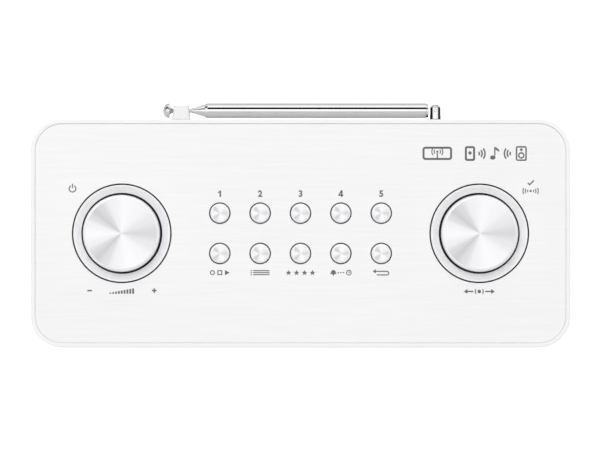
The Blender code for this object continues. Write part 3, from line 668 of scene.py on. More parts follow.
def window_glass(name):
    """Dark gloss acrylic; the display's active area is a shade lighter behind it."""
    surface = Surface(name, (0.01, 0.01, 0.012), 0.05)
    x, _, z = surface.axes(surface.coordinates())
    half_width, half_height = 34 * MM, 16 * MM
    in_x = surface.math("LESS_THAN", surface.math("ABSOLUTE", x), half_width)
    in_z = surface.math("LESS_THAN", surface.math("ABSOLUTE", z), half_height)
    surface.tint(surface.spread(surface.math("MULTIPLY", in_x, in_z), 1.0, 2.2, 0.0, 1.0))
    surface.rough(surface.spread(surface.noise(90), 0.04, 0.07))
    return surface.material


CHROME = (0.86, 0.86, 0.87)

MATERIALS = {
    "white": moulded("white_plastic", (0.92, 0.92, 0.925), 0.36),
    "clip": moulded("clip_plastic", (0.85, 0.85, 0.865), 0.4),
    "panel": brushed("brushed_panel", (0.92, 0.92, 0.92)),
    # White non-metal on the chamfers of knobs and buttons: a painted highlight.
    "bevel": plated("bevel_painted_highlight", (0.97, 0.97, 0.98), 0.4, 0.0),
    "edge": turned("satin_edge", (0.86, 0.86, 0.88), 0.28),
    # Spun faces: wedges of painted reflection in the base colour, over fine rings.
    "button_face": spun("spun_button", rings=4000),
    "volume_face": spun("spun_volume_knob_painted_reflections", knob_place("volume")),
    "navigate_face": spun("spun_navigate_knob_painted_reflections", knob_place("navigate")),
    "dish": plated("satin_dish", (0.98, 0.98, 1.0), 0.4, 0.4),
    "dark": moulded("dark_plastic", (0.022, 0.022, 0.025), 0.45, clouding=0.1),
    "grille": moulded("grille_plastic", (0.78, 0.78, 0.79), 0.45),
    "window": window_glass("window_acrylic"),
    "chrome": plated("chrome", CHROME, 0.05),
    # Chrome with a painted dark reflection down each flank of the post.
    "post": flanked("post_chrome_painted_reflection", CHROME, 0.05, POST_RADIUS),
    "steel": plated("steel", (0.55, 0.55, 0.57), 0.32),
    "rubber": moulded("rubber", (0.03, 0.03, 0.03), 0.75, grain=1200, relief=0.3, clouding=0.1),
    "board": moulded("circuit_board", (0.02, 0.16, 0.06), 0.35, grain=400, clouding=0.15),
    "cone": moulded("cone_paper", (0.03, 0.03, 0.032), 0.75, grain=900, relief=0.4, clouding=0.1),
    "cable": moulded("cable_sleeve", (0.05, 0.05, 0.055), 0.5),
    "ink": moulded("legend_ink", (0.14, 0.14, 0.145), 0.55, relief=0.02),
}


# Cabinet.


def make_shell():
    """The cabinet, with a ledge that carries the panel and a low tongue in the seam round it."""
    bottom, top = SHELL_LOW.z, SHELL_HIGH.z
    ledge = WALL + 4 * MM
    ledge_top = 103.3 * MM
    ledge_bottom = ledge_top - 1.8 * MM
    tongue = WALL + 0.2 * MM
    step = PANEL_TOP - 0.1 * MM
    profile = [
        (0, bottom, 0.5 * MM), (0, top, 0.5 * MM), (WALL, top, 0.15 * MM), (WALL, step, 0.05 * MM),
        (tongue, step, 0.03 * MM), (tongue, step - 1 * MM, 0), (WALL, step - 1.2 * MM, 0),
        (WALL, ledge_top, 0), (ledge, ledge_top), (ledge, ledge_bottom), (WALL, ledge_bottom, 0),
        (WALL, bottom),
    ]
    place = (0, CASE_Y, 0)
    profile = rounded(profile, closed=True)
    walls = loft(SHELL_HIGH - SHELL_LOW, CASE_CORNER, profile, place, segments=32, ring=True)
    shell = to_object("cabinet_shell_fine", walls, place)
    combine(shell, wall_openings())
    add_bosses(shell)
    dress(shell, "cabinet", "white", "cabinet_shell")


def wall_openings():
    """Cutters for the grille, the antenna's bush, the sockets and the clip's tab."""
    depth = 3 * WALL
    inlet_hole = (9.6 * MM, 11.6 * MM)
    jack_hole = 4.1 * MM
    clip_hole = (5.6 * MM, 5.6 * MM)
    grille = GRILLE_HIGH - GRILLE_LOW
    front_hole = (grille.x + 2 * GAP, grille.z + 2 * GAP)
    front = at_depth("front_grille", FRONT_Y)
    bush = at_depth("antenna_pin", REAR_Y)
    inlet = at_depth("dc_inlet", REAR_Y)
    clip = at_depth("antenna_clip", REAR_Y)
    return [
        loft(front_hole, GRILLE_CORNER, mouth(0.5 * MM, depth), front, "-Y"),
        bore(BUSH_RADIUS + GAP, 0.25 * MM, depth, bush, "+Y"),
        loft(inlet_hole, 1 * MM, mouth(GAP, depth), inlet, "+Y", 6),
        *(bore(jack_hole, GAP, depth, at_depth(name, REAR_Y), "+Y") for name in JACKS),
        loft(clip_hole, 0.3 * MM, mouth(0, depth), clip, "+Y", 3),
    ]


def add_bosses(shell):
    """Pillars for the base screws, each tied to its side wall by a rib."""
    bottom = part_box("base_plate")[1].z + GAP
    top = 20 * MM
    radius = 4 * MM
    end = SHELL_HIGH.x - WALL / 2
    ribs, pillars, bores = [], [], []
    for corner in CORNERS:
        place = at_height(f"base_screw_{corner}")
        start = abs(place.x) + 3 * MM
        centre = (math.copysign((start + end) / 2, place.x), place.y, (bottom + top) / 2)
        ribs.append(block((end - start, 2.4 * MM, top - bottom - 2 * MM), centre))
        pillars.append(turn(rounded(cylinder(radius, bottom, top)), place, steps=48))
        bores.append(turn(cylinder(SCREW_BORE, 0, top - 1.5 * MM), place))
    combine(shell, ribs, "UNION")
    combine(shell, pillars, "UNION")
    combine(shell, bores)


def make_base():
    low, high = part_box("base_plate")
    profile = slab(high.z - low.z, 0.5 * MM, 0.2 * MM)
    plate = inner_plate("base_plate", profile, low.z, low.z)
    reach = high.z + 1 * MM
    holes = []
    for corner in CORNERS:
        holes.append(turn(cylinder(SCREW_BORE, 0, reach), at_height(f"base_screw_{corner}")))
        holes.append(turn(cylinder(2.75 * MM, 0, reach), at_height(f"foot_{corner}")))
    combine(plate, holes)
    dress(plate, "cabinet", "white", "base_plate")
    for corner in CORNERS:
        make_foot(f"foot_{corner}")
        make_screw(f"base_screw_{corner}")


def make_foot(name):
    """A round rubber foot with a ring groove in its sole, and its plug in the base."""
    top = SHELL_LOW.z - GAP
    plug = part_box(name)[1].z
    profile = [
        (0, plug), (2.4 * MM, plug), (2.4 * MM, top, 0), (8.4 * MM, top),
        (9 * MM, 1 * MM, 0.6 * MM), (8.2 * MM, 0, 0.15 * MM), (6.6 * MM, 0, 0.1 * MM),
        (6.4 * MM, 0.5 * MM, 0.1 * MM), (5.6 * MM, 0.5 * MM, 0.1 * MM), (5.4 * MM, 0, 0.1 * MM),
        (0, 0),
    ]
    lathe(name, profile, at_height(name), "+Z", "cabinet", "rubber")


def make_screw(name):
    """A countersunk screw with a cross recess."""
    low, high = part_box(name)
    head_top = SHELL_LOW.z - GAP
    profile = [
        (0, high.z), (1.5 * MM, high.z - 1 * MM), (1.5 * MM, head_top, 0),
        (3.2 * MM, head_top, 0.1 * MM), (2.6 * MM, low.z + 0.2 * MM, 0.3 * MM), (0, low.z),
    ]
    place = at_height(name)
    screw = to_object(f"{name}_fine", turn(rounded(profile), place, steps=48), place)
    length, width, depth = 3 * MM, 0.7 * MM, 2 * MM
    for size in ((length, width, depth), (width, length, depth)):
        combine(screw, [block(size, at_height(name, low.z))])
    dress(screw, "cabinet", "steel", name)


# Control panel.


def make_top_panel():
    size = PANEL_HIGH - PANEL_LOW
    edge = 0.12 * MM
    profile = [(0, 0), (0, size.z - edge), (edge, size.z)]
    panel = inner_plate("top_panel", profile, PANEL_LOW.z, PANEL_TOP)
    depth = 2 * size.z
    lip = 0.1 * MM
    holes = [bore(BUTTON_HOLE, lip, depth, at_height(name, PANEL_TOP)) for name in BUTTONS]
    for knob in KNOBS:
        holes.append(bore(BEZEL_HOLE, lip, depth, knob_place(knob, PANEL_TOP), steps=128))
    combine(panel, holes)
    dress(panel, "cabinet", "panel", "top_panel")


def make_control_frame():
    """The dark moulding under the panel: it guides the buttons, with a well under each knob."""
    profile = slab(PLATE_THICKNESS, 0.4 * MM, 0.15 * MM)
    bottom = PLATE_TOP - PLATE_THICKNESS
    moulding = inner_plate("control_frame", profile, bottom, PLATE_TOP, segments=24)
    outer = BEZEL_HOLE + 1.9 * MM
    well_top = PLATE_TOP - PLATE_THICKNESS / 3
    above = 2 * PLATE_TOP
    well = [(0, WELL_BOTTOM), (outer, WELL_BOTTOM, 0.3 * MM), (outer, well_top), (0, well_top)]
    wells, shafts = [], []
    bores = [bore(BUTTON_BORE, 0.2 * MM, 14 * MM, at_height(name, PLATE_TOP)) for name in BUTTONS]
    for knob in KNOBS:
        place = knob_place(knob)
        wells.append(turn(rounded(well, 0), place, steps=96))
        bores.append(turn(cylinder(BEZEL_HOLE, WELL_FLOOR, above), place, steps=96))
        shafts.append(turn(cylinder(SHAFT_HOLE, 0, above), place))
    combine(moulding, wells, "UNION")
    combine(moulding, bores)
    combine(moulding, shafts)
    dress(moulding, "cabinet", "dark", "control_frame")


def make_bezels():
    """The dished ring round each knob, whose lip stands just under the panel's top."""
    bottom = WELL_FLOOR + GAP
    lip = PANEL_TOP - 0.2 * MM
    inner, outer = 21.3 * MM, 25.5 * MM
    profile = [
        (inner, bottom, 0.1 * MM), (inner, lip - 0.8 * MM, 0.05 * MM),
        (22.4 * MM, lip - 0.6 * MM, 1 * MM), (23.8 * MM, lip - 0.25 * MM, 1 * MM),
        (24.8 * MM, lip, 0.5 * MM), (outer, lip, 0.15 * MM), (outer, bottom, 0.1 * MM),
    ]
    for knob in KNOBS:
        name, place = f"{knob}_bezel", knob_place(knob)
        ring = lathe(name, profile, place, "+Z", "cabinet", "dish", 128, True)
        # The ring's bore is painted dark: painted shade in the gap round the knob.
        paint(ring, "dark", lambda reach, z: reach < inner + 0.02 * MM)


def make_buttons():
    """Plated caps with a spun face carrying painted reflections and a bevel painted white as a
    highlight, a flange under the frame and a stem to the switch.
    """
    face = 4.1 * MM
    stem = 1.6 * MM
    flange_top = PLATE_TOP - PLATE_THICKNESS - GAP
    flange_bottom = flange_top - 1 * MM
    for name in BUTTONS:
        low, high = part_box(name)
        flange = (high.x - low.x) / 2
        profile = [
            (0, high.z - 0.12 * MM), (2 * MM, high.z - 0.09 * MM, 0), (face, high.z, 0.1 * MM),
            (BUTTON_RADIUS, high.z - 0.6 * MM, 0.2 * MM), (BUTTON_RADIUS, flange_top, 0),
            (flange, flange_top), (flange, flange_bottom), (stem, flange_bottom, 0), (stem, low.z),
            (0, low.z),
        ]
        cap = lathe(name, profile, at_height(name), "+Z", name, "edge", 80)
        # The chamfer gets the painted highlight.
        paint(cap, "bevel", lambda reach, z: reach < BUTTON_RADIUS and z > high.z - 0.65 * MM)
        paint(cap, "button_face", lambda reach, z: reach < face and z > high.z - 0.2 * MM)


def make_knobs():
    """Hollow turned knobs: spun face with painted reflections, bevel painted white as a highlight,
    satin side, hub with the shaft's bore.
    """
    face = 18.7 * MM
    hub = 5 * MM
    shaft = 3.2 * MM
    for knob in KNOBS:
        name = f"{knob}_knob"
        low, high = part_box(name)
        top, skirt = high.z, low.z
        radius = (high.x - low.x) / 2
        bevel = radius - 0.4 * MM
        inside = radius - 1.8 * MM
        roof = top - 3 * MM
        shaft_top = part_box(f"{knob}_shaft")[1].z + GAP
        profile = [
            (0, top - 0.35 * MM), (9 * MM, top - 0.24 * MM, 0), (face, top, 0.12 * MM),
            (radius - 0.45 * MM, top - 0.7 * MM, 0.3 * MM), (radius, top - 2.2 * MM, 1 * MM),
            (radius, skirt, 0.3 * MM), (inside, skirt), (inside, roof, 0.8 * MM),
            (hub, roof, 0.8 * MM), (hub, skirt), (shaft, skirt), (shaft, shaft_top, 0),
            (0, shaft_top),
        ]
        cap = lathe(name, profile, knob_place(knob), "+Z", name, "edge", 160)
        # The chamfer gets the painted highlight.
        paint(cap, "bevel", lambda reach, z: reach < bevel and z > top - 0.75 * MM)
        paint(cap, f"{knob}_face", lambda reach, z: reach < face and z > top - 0.5 * MM)


# Front.


def make_grille():
    thickness = GRILLE_HIGH.y - GRILLE_LOW.y
    profile = slab(thickness, 0.5 * MM, 0.1 * MM, front_edge=0.3 * MM)
    grille = wall_piece("front_grille", GRILLE_CORNER - GAP, profile, "-Y", 16)
    low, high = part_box("display_window")
    window = (high.x - low.x + 2 * GAP, high.z - low.z + 2 * GAP)
    front = at_depth("front_grille", GRILLE_LOW.y)
    cutter = mouth(0.25 * MM, 3 * thickness, 3)
    holes = [loft(window, 4 * MM, mouth(0.3 * MM, 3 * thickness), front, "-Y", 12)]
    slot = (68 * MM, 1.6 * MM)
    corner = slot[1] / 2 - 0.01 * MM
    pitch = 4 * MM
    count = 17
    for name in SPEAKERS:
        for i in range(count):
            rise = (i - (count - 1) / 2) * pitch
            place = front + Vector((middle(f"{name}_cone").x, 0, rise))
            holes.append(loft(slot, corner, cutter, place, "-Y", 8))
    combine(grille, holes)
    dress(grille, "cabinet", "grille", "front_grille")


def make_window():
    low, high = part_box("display_window")
    profile = slab(high.y - low.y, 0.3 * MM, 0.1 * MM, 1 * MM, 0.5 * MM, 6)
    window = wall_piece("display_window", 3.7 * MM, profile, "-Y", 16)
    dress(window, "cabinet", "window", "display_window")


def make_cones():
    """Paper cone with a roll surround, dust cap and voice coil."""
    coil, coil_bore = 5.6 * MM, 5.1 * MM
    rim = 29.7 * MM
    profile = [
        (0, -7.8 * MM), (4 * MM, -8.6 * MM, 1.5 * MM), (7 * MM, -10.6 * MM, 0.3 * MM),
        (24 * MM, -2.6 * MM, 0.4 * MM), (25.4 * MM, -0.6 * MM, 1.4 * MM),
        (28.2 * MM, -0.6 * MM, 1.4 * MM), (rim, -1.7 * MM, 0.2 * MM), (rim, -2.6 * MM, 0.2 * MM),
        (24 * MM, -3.5 * MM, 0.2 * MM), (8 * MM, -11.4 * MM, 0.2 * MM),
        (coil, -11.4 * MM, 0.1 * MM), (coil, -16 * MM, 0.1 * MM), (coil_bore, -16 * MM, 0.1 * MM),
        (coil_bore, -10.6 * MM, 0.1 * MM), (0, -9 * MM),
    ]
    for speaker in SPEAKERS:
        name = f"{speaker}_cone"
        place = at_depth(name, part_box(f"{speaker}_basket")[0].y)
        lathe(name, profile, place, "-Y", name, "cone", curve=5)


# Rear: sockets, antenna mounts.


def make_inlet():
    """A barrel socket for the power plug, with its centre pin."""
    low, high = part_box("dc_inlet")
    depth = 9.5 * MM
    profile = slab(high.y - low.y, 0.4 * MM, 0.2 * MM, 0.6 * MM, 0.4 * MM)
    inlet = wall_piece("dc_inlet", 0.8 * MM, profile, "+Y", 6)
    face = at_depth("dc_inlet", high.y)
    combine(inlet, [bore(3.1 * MM, 0.25 * MM, depth, face, "+Y")])
    dress(inlet, "cabinet", "dark", "dc_inlet")
    radius, tip = 1 * MM, -0.4 * MM
    profile = rounded([(0, tip), (radius, tip, 0.5 * MM), (radius, -depth), (0, -depth)], 0)
    pin = to_object("dc_inlet_pin", turn(profile, face, "+Y", 40), face)
    dress(pin, "cabinet", "steel")


def make_jack(name):
    """A 3.5 mm socket: body block, round nose in the wall and a bright contact sleeve."""
    low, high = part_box(name)
    nose = WALL + GAP
    nose_radius = 3.8 * MM
    body = slab((high - low).y - nose, 0.4 * MM, 0.2 * MM)
    jack = wall_piece(name, 0.6 * MM, body, "+Y", 4)
    face = at_depth(name, high.y)
    outline = [(0, -2 * nose), (nose_radius, -2 * nose), (nose_radius, 0, 0.3 * MM), (0, 0)]
    combine(jack, [turn(rounded(outline, 0), face, "+Y")], "UNION")
    combine(jack, [bore(2.5 * MM, 0.2 * MM, 1.2 * MM, face, "+Y")])
    combine(jack, [bore(1.8 * MM, 0, 22 * MM, face, "+Y")])
    dress(jack, "cabinet", "dark", name)
    inner, outer = 1.8 * MM, 2.45 * MM
    bottom, top = -1.2 * MM, -0.25 * MM
    profile = [(inner, bottom, 0), (outer, bottom, 0), (outer, top, 0.15 * MM), (inner, top, 0.25 * MM)]
    ring = turn(rounded(profile, closed=True), face, "+Y", 64, True)
    dress(to_object(f"{name}_sleeve", ring, face), "cabinet", "chrome")


def make_sockets():
    make_inlet()
    for name in JACKS:
        make_jack(name)


def make_antenna_socket():
    """The bush in the rear wall that the post turns in."""
    low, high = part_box("antenna_socket")
    outer = (high.x - low.x) / 2
    inner = 2.3 * MM
    wall_face = high.y - PIVOT.y
    step = REAR_Y - WALL - GAP - PIVOT.y
    bottom = low.y - PIVOT.y
    profile = [
        (BUSH_RADIUS, wall_face, 0.25 * MM), (BUSH_RADIUS, step, 0), (outer, step, 0.2 * MM),
        (outer, bottom, 0.2 * MM), (inner, bottom, 0.1 * MM), (inner, wall_face, 0.2 * MM),
    ]
    lathe("antenna_socket", profile, PIVOT, "+Y", "cabinet", "dark", 64, True)


def make_clip():
    """The open hook on the rear wall that holds the stowed antenna."""
    low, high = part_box("antenna_clip")
    start = REAR_Y + GAP
    reach = high.y - start
    width, height = high.x - low.x, high.z - low.z
    tip_share = 7.6 / 9.6  # The tip's width as a share of the root's.
    place = Vector((middle("antenna_clip").x, start, PIVOT.z))
    profile = slab(reach, 0.2 * MM, 0.1 * MM, 0.6 * MM, 0.4 * MM)
    body = loft((width, height), 1.2 * MM, profile, place, "+Y", 8)
    for vert in body.verts:
        share = (vert.co.y - start) / reach
        vert.co.x = place.x + (vert.co.x - place.x) * (1 + (tip_share - 1) * share)
    clip = to_object("antenna_clip_fine", body, place)
    floor, depth, channel = 0.8 * MM, 20 * MM, 6.9 * MM
    centre = place + Vector((0, floor + depth / 2, 0))
    combine(clip, [block((30 * MM, depth, channel), centre)])
    soften(clip, 0.25 * MM, 3, 50)
    length, thickness = WALL + 2 * GAP + floor / 2, 5 * MM
    centre = place + Vector((0, floor / 2 - length / 2, 0))
    combine(clip, [block((thickness, length, thickness), centre)], "UNION")
    dress(clip, "cabinet", "clip", "antenna_clip")


# Antenna.


def make_post():
    """The turning post with its fork."""
    ring_low, ring_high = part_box("antenna_retaining_ring")
    groove_bottom = ring_low.y - PIVOT.y - 0.25 * MM
    groove_top = ring_high.y - PIVOT.y + 0.25 * MM
    dome, end = POST_HIGH.y - PIVOT.y, POST_LOW.y - PIVOT.y
    shoulder = REAR_Y - PIVOT.y + GAP
    stem, groove = 2 * MM, 1.5 * MM
    profile = [
        (0, dome), (1.5 * MM, dome - 0.05 * MM, 1.2 * MM), (POST_RADIUS, 1.9 * MM, 1.2 * MM),
        (POST_RADIUS, shoulder, 0.3 * MM), (stem, shoulder, 0), (stem, groove_top, 0),
        (groove, groove_top, 0), (groove, groove_bottom, 0), (stem, groove_bottom, 0),
        (stem, end, 0.3 * MM), (0, end),
    ]
    barrel = turn(rounded(profile, steps=6), PIVOT, "+Y", 72)
    post = to_object("antenna_post_fine", barrel, PIVOT)
    slot_start, slot_end = -2.6 * MM, 5 * MM
    centre = PIVOT + Vector((0, (slot_start + slot_end) / 2, 0))
    combine(post, [block((9 * MM, slot_end - slot_start, 1.9 * MM), centre)])
    soften(post, 0.12 * MM, 2, 60)
    reach = 4.5 * MM
    combine(post, [turn(cylinder(PIN_HOLE, -reach, reach), PIVOT)])
    dress(post, "antenna_post", "post", "antenna_post")


def make_pin():
    """The pin that the antenna tilts on."""
    low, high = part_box("antenna_pin")
    half = (high.z - low.z) / 2
    profile = cylinder((high.x - low.x) / 2, -half, half)
    lathe("antenna_pin", profile, PIVOT, "+Z", "antenna_post", "chrome", 40)


def make_retaining_ring():
    """The ring that holds the post in its bush."""
    name = "antenna_retaining_ring"
    low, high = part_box(name)
    outer, inner = (high.x - low.x) / 2, 1.75 * MM
    bottom, top = low.y - PIVOT.y, high.y - PIVOT.y
    corners = ((outer, top), (outer, bottom), (inner, bottom), (inner, top))
    profile = [(*corner, 0.15 * MM) for corner in corners]
    lathe(name, profile, PIVOT, "+Y", "antenna_post", "steel", 48, True)


def make_tube():
    """The outer tube: rolled mouth at one end, a tongue for the fork at the other."""
    low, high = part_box("antenna_tube")
    radius = (high.z - low.z) / 2
    start = 3.8 * MM
    floor = start + 4 * MM
    shoulder = PIVOT.x - low.x - 1.5 * MM
    mouth_end = shoulder + 1.5 * MM
    bore_radius, mouth_radius, collar = 3.5 * MM, 3.2 * MM, 3.6 * MM
    profile = [
        (0, floor), (bore_radius, floor, 0), (bore_radius, shoulder + 0.2 * MM, 0),
        (mouth_radius, shoulder + 0.6 * MM, 0), (mouth_radius, mouth_end, 0.08 * MM),
        (3.45 * MM, mouth_end, 0.1 * MM), (radius, shoulder, 0.5 * MM),
        (radius, 4.9 * MM, 0.12 * MM), (collar, 4.8 * MM, 0.05 * MM), (collar, start, 0.3 * MM),
        (0, start),
    ]
    tube = to_object("antenna_tube_fine", turn(rounded(profile), PIVOT, "-X", 96), PIVOT)
    thickness = 1.5 * MM
    length = start + 1 * MM
    tongue = block((length, 4.4 * MM, thickness), PIVOT - Vector((length / 2, 0, 0)))
    combine(tube, [tongue], "UNION")
    knuckle = rounded(cylinder(2.2 * MM, -thickness / 2, thickness / 2), 0)
    combine(tube, [turn(knuckle, PIVOT)], "UNION")
    reach = 2 * MM
    combine(tube, [turn(cylinder(PIN_HOLE, -reach, reach), PIVOT)])
    dress(tube, "antenna_tube", "chrome", "antenna_tube")


# Outer radius, bore and mouth bore of each inner section.
SECTIONS = (
    ("antenna_section_2", 3.1 * MM, 2.7 * MM, 2.5 * MM),
    ("antenna_section_3", 2.4 * MM, 2.1 * MM, 1.85 * MM),
    ("antenna_section_4", 1.75 * MM, 1.45 * MM, 1.2 * MM),
)


def make_sections():
    """Inner tubes with a rolled mouth and a stop collar."""
    for name, radius, bore_radius, mouth_radius in SECTIONS:
        low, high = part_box(name)
        start, end = PIVOT.x - high.x, PIVOT.x - low.x
        stop = (high.z - low.z) / 2
        stop_end = start + 3 * MM
        taper = end - 2.2 * MM
        profile = [
            (mouth_radius, end, 0.08 * MM), (mouth_radius + 0.3 * MM, end, 0.1 * MM),
            (radius, taper, 0.6 * MM), (radius, stop_end, 0), (stop, stop_end, 0.05 * MM),
            (stop, start, 0.1 * MM), (bore_radius, start, 0), (bore_radius, taper, 0),
            (mouth_radius, taper + 0.5 * MM, 0),
        ]
        lathe(name, profile, PIVOT, "-X", name, "chrome", 72, True)


def make_rod():
    """The innermost rod, with its stop, neck and domed button."""
    low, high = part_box("antenna_rod")
    tip = PIVOT.x - low.x
    button = (high.z - low.z) / 2
    neck = tip - 5.1 * MM
    rod, stop = 1.1 * MM, 1.35 * MM
    start, stop_end = 18 * MM, 21 * MM
    profile = [
        (0, tip), (1.6 * MM, tip - 0.25 * MM, 1.2 * MM), (3.2 * MM, tip - 1.1 * MM, 1.2 * MM),
        (button, tip - 2.7 * MM, 0.5 * MM), (3.85 * MM, tip - 3.4 * MM, 0.2 * MM),
        (2 * MM, tip - 3.55 * MM, 0.3 * MM), (1.2 * MM, neck, 0.4 * MM),
        (rod, neck - 0.4 * MM, 0.2 * MM), (rod, stop_end, 0), (stop, stop_end, 0.05 * MM),
        (stop, start, 0.1 * MM), (0, start),
    ]
    lathe("antenna_rod", profile, PIVOT, "-X", "antenna_rod", "chrome", 80, curve=6)


# Printed marks: flat prisms, drawn in millimetres about a point on the panel.


def polar(x, y, radius, angle, squash=1.0):
    return (x + radius * math.cos(angle), y + squash * radius * math.sin(angle))


class Mark:
    """Strokes and patches of ink that make one legend."""

    def __init__(self, shape=None):
        self.shape = shape or bmesh.new()

    def prism(self, points):
        verts = self.shape.verts
        low, high = ([verts.new((x * MM, y * MM, z)) for x, y in points] for z in (0, INK_THICKNESS))
        self.shape.faces.new(low)
        self.shape.faces.new(high)
        bridge(self.shape, low, high)

    def bar(self, x, y, width, height):
        corners = ((-1, -1), (1, -1), (1, 1), (-1, 1))
        self.prism([(x + side * width / 2, y + end * height / 2) for side, end in corners])

    def disc(self, x, y, radius, squash=1.0):
        steps = 32
        self.prism([polar(x, y, radius, 2 * math.pi * i / steps, squash) for i in range(steps)])

    def arc(self, x, y, radius, width, start=0, end=359):
        """A band along an arc, in degrees from +X; a circle without start and end."""
        steps = 24
        angles = [math.radians(start + (end - start) * i / steps) for i in range(steps + 1)]
        outer = [polar(x, y, radius + width / 2, angle) for angle in angles]
        inner = [polar(x, y, radius - width / 2, angle) for angle in angles]
        self.prism(outer + inner[::-1])

    def waves(self, x, y, radii, width, spread, facings=(0, 180)):
        """Arcs about a point, each as wide as a spread on both sides of its facing."""
        for radius in radii:
            for facing in facings:
                self.arc(x, y, radius, width, facing - spread, facing + spread)

    def ring(self, x, y, width, height, corner, stroke):
        """A closed outline of a rounded rectangle."""
        inside = stroke * MM
        section = [(0, 0), (0, INK_THICKNESS), (inside, INK_THICKNESS), (inside, 0)]
        size = (width * MM, height * MM)
        band = loft(size, corner * MM, section, (x * MM, y * MM, 0), segments=10, ring=True)
        add_to(self.shape, band)

    def triangle(self, x, y, width, height):
        """Points towards +X, or towards -X with a negative width."""
        back, tip = x - width / 2, x + width / 2
        self.prism([(back, y - height / 2), (tip, y), (back, y + height / 2)])

    def star(self, x, y, radius):
        waist = 0.42 * radius
        points = [(waist if i % 2 else radius, math.pi / 2 + i * math.pi / 5) for i in range(10)]
        self.prism([polar(x, y, reach, angle) for reach, angle in points])

    def place(self, name, x, y):
        bmesh.ops.recalc_face_normals(self.shape, faces=self.shape.faces)
        place = (x, y, PANEL_TOP + 0.005 * MM)
        legend = add_object(f"legend_{name}", as_mesh(f"legend_{name}", self.shape), place)
        dress(legend, "cabinet", "ink", smooth=20)


def draw_one(mark):
    flag = [(-0.2, 1.2), (-1.0, 0.9), (-1.0, 0.2), (-0.15, 0.6)]
    mark.prism([(0.65, -1.75), (0.65, 1.75), (0.1, 1.75), *flag, (-0.15, -1.75)])


def draw_four(mark):
    mark.bar(0.48, 0, 0.72, 3.5)
    mark.bar(0, -0.8, 2.6, 0.65)
    mark.prism([(-1.3, -0.6), (0.1, 1.75), (0.84, 1.75), (-0.5, -0.6)])


def typed(digit):
    """A digit of the built-in font, centred and as high as the drawn ones."""
    curve = bpy.data.curves.new("digit", "FONT")
    curve.body = str(digit)
    curve.align_x = "CENTER"
    curve.size = 5.6 * MM
    curve.offset = 0.2 * MM
    curve.extrude = INK_THICKNESS / 2
    curve.resolution_u = 6
    text = add_object("digit", curve)
    mesh = evaluated_mesh(text)
    bpy.data.objects.remove(text)
    shape = bmesh.new()
    shape.from_mesh(mesh)
    bmesh.ops.remove_doubles(shape, verts=shape.verts, dist=TINY)
    low, high = (Vector(pick(v.co[k] for v in shape.verts) for k in range(3)) for pick in (min, max))
    scale = 3.5 * MM / (high.y - low.y)
    bmesh.ops.translate(shape, vec=-(low + high) / 2, verts=shape.verts)
    bmesh.ops.scale(shape, vec=(scale, scale, 1), verts=shape.verts)
    bmesh.ops.translate(shape, vec=(0, 0, INK_THICKNESS / 2), verts=shape.verts)
    return shape


def make_digits():
    """The numbers 1 to 5 over the preset buttons: two are drawn and three typed."""
    marks = {1: Mark(), 4: Mark()}
    draw_one(marks[1])
    draw_four(marks[4])
    marks.update((digit, Mark(typed(digit))) for digit in (2, 3, 5))
    for digit, mark in marks.items():
        button = middle(f"preset_button_{digit}")
        mark.place(f"digit_{digit}", button.x, button.y + 10.3 * MM)


def draw_mode(mark):
    """A circle, a square and a triangle."""
    mark.arc(-3.9, 0, 1.05, 0.55)
    mark.ring(0, 0, 2.6, 2.6, 0.3, 0.55)
    mark.triangle(3.95, 0, 2.5, 2.7)


def draw_menu(mark):
    for y in (1.05, 0, -1.05):
        mark.bar(-4.7, y, 0.7, 0.55)
        mark.bar(0.6, y, 8.6, 0.55)


def draw_favourite(mark):
    for x in (-6.3, -2.1, 2.1, 6.3):
        mark.star(x, -0.1, 1.6)


def draw_alarm(mark):
    """A bell and a clock face."""
    bell = [(-5.8, -0.75), (-5.3, -0.3), (-5.15, 0.6), (-4.6, 1.25), (-3.95, 1.4)]
    mark.prism(bell + [(-7.9 - x, y) for x, y in reversed(bell)])
    mark.disc(-3.95, -1.15, 0.45)
    mark.arc(4.2, 0, 1.25, 0.5)
    mark.bar(4.2, 0.35, 0.4, 0.9)
    mark.bar(4.5, -0.02, 0.7, 0.4)
    for x in (-1.4, 0, 1.4):
        mark.bar(x, 0, 0.8, 0.6)


def draw_back(mark):
    mark.triangle(-3.7, 0.7, -1.7, 2.2)
    mark.bar(0, 0.7, 6.0, 0.6)
    mark.arc(3.0, -0.25, 0.95, 0.6, -90, 90)
    mark.bar(0.3, -1.2, 5.4, 0.6)


def draw_volume(mark):
    """A wedge of bars."""
    count = 9
    for i in range(count):
        height = 0.6 + 2.2 * i / (count - 1)
        mark.bar(-6.0 + 1.5 * i, -1.2 + height / 2, 1.0, height)


def draw_minus(mark):
    mark.bar(0, 0, 2.4, 0.8)


def draw_plus(mark):
    draw_minus(mark)
    for side in (-1, 1):
        mark.bar(0, side * 0.8, 0.8, 0.8)


def draw_navigate(mark):
    for side in (-1, 1):
        mark.triangle(side * 7.2, 0, side * 1.9, 2.6)
        mark.bar(side * 4.7, 0, 3.2, 0.7)
        mark.waves(0, 0, (2.1,), 0.6, 34, (90 - side * 90,))
    mark.disc(0, 0, 0.95)


def draw_accept(mark):
    """A tick over a scan of the band."""
    mark.prism([(-1.7, 2.1), (-1.2, 2.6), (-0.5, 1.9), (1.5, 3.9), (2.0, 3.4), (-0.5, 0.9)])
    mark.disc(0, -1.9, 0.6)
    mark.waves(0, -1.9, (1.6, 2.8, 4.0), 0.55, 24)


def draw_power(mark):
    mark.bar(0, 1.45, 0.6, 2.3)
    mark.arc(0, 0, 1.75, 0.6, 90 + 32, 450 - 32)


def draw_tuner(mark):
    """A framed mast that sends out waves on both sides, for broadcast reception."""
    size = 1.65
    top = -0.35 + 0.75 * size
    mark.ring(0, 0, 15.6, 7.0, 1.6, 1.1)
    mark.bar(0, -0.35 - 0.55 * size, 0.4 * size, 1.7 * size)
    mark.disc(0, top, 0.36 * size)
    mark.waves(0, top, (size, 1.75 * size), 0.34 * size, 38)


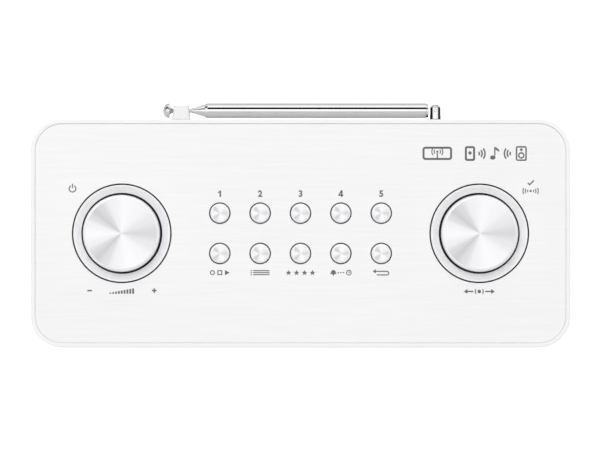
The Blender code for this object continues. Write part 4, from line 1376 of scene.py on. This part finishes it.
def draw_note(mark, x, y, size):
    """A musical note."""
    stem, flag_end = x + 0.65 * size, x + 1.45 * size
    mark.disc(x, y - size, 0.62 * size, 0.8)
    mark.bar(x + 0.47 * size, y + 0.45 * size, 0.3 * size, 2.0 * size)
    flag = ((stem, 1.45), (stem, 0.8), (flag_end, 0.25), (flag_end, 0.75))
    mark.prism([(along, y + rise * size) for along, rise in flag])


def draw_streaming(mark):
    """A handset that sends music to a loudspeaker."""
    radii = (1.4, 2.9, 4.4)
    mark.ring(-13.6, 0, 5.4, 7.8, 1.2, 1.1)
    mark.disc(-13.6, 0.3, 0.9)
    mark.waves(-10.1, 0, radii, 0.8, 38, (0,))
    draw_note(mark, -1.6, 0.2, 2.3)
    mark.waves(8.9, 0, radii, 0.8, 38, (180,))
    mark.ring(13.4, 0, 5.8, 7.8, 1.0, 0.8)
    mark.arc(13.4, -1.0, 1.35, 0.75)
    mark.disc(13.4, 2.0, 0.75)


def make_legends():
    make_digits()
    legends = []
    for draw in (draw_mode, draw_menu, draw_favourite, draw_alarm, draw_back):
        name = draw.__name__.removeprefix("draw_")
        button = middle(f"{name}_button")
        legends.append((name, draw, button.x, button.y - 10.1 * MM))
    volume, navigate = (knob_place(knob).x for knob in KNOBS)
    under = CASE_Y - 30.6 * MM
    signs = under + 0.45 * MM
    legends += [
        ("volume", draw_volume, volume, under),
        ("minus", draw_minus, volume - 16.9 * MM, signs),
        ("plus", draw_plus, volume + 17.1 * MM, signs),
        ("navigate", draw_navigate, navigate, under),
        ("power", draw_power, volume - 25.9 * MM, CASE_Y + 23.5 * MM),
        ("accept", draw_accept, navigate + 27 * MM, CASE_Y + 24.2 * MM),
        ("tuner", draw_tuner, 72 * MM, CASE_Y + 42.1 * MM),
        ("streaming", draw_streaming, 102.8 * MM, CASE_Y + 42 * MM),
    ]
    for name, draw, x, y in legends:
        mark = Mark()
        draw(mark)
        mark.place(name, x, y)


# Nodes that keep their CAD shape, inside the cabinet.

KEPT = {
    "dark": ("front_baffle", "display_module", "volume_plunger", "navigate_plunger"),
    "board": ("control_board", "main_board"),
    "cable": ("ribbon_cable", "antenna_lead"),
    "steel": (
        "tuner_module",
        *(f"{knob}_{part}" for knob in KNOBS for part in ("encoder", "shaft")),
        *(f"{speaker}_{part}" for speaker in SPEAKERS for part in ("basket", "magnet")),
    ),
}


def finish_kept_nodes():
    for material, names in KEPT.items():
        for name in names:
            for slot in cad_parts[name].material_slots:
                slot.material = MATERIALS[material]


make_camera()
make_world()
make_light()
make_floor()
make_shell()
make_base()
make_top_panel()
make_control_frame()
make_bezels()
make_buttons()
make_knobs()
make_grille()
make_window()
make_cones()
make_sockets()
make_antenna_socket()
make_clip()
make_post()
make_pin()
make_retaining_ring()
make_tube()
make_sections()
make_rod()
make_legends()
finish_kept_nodes()
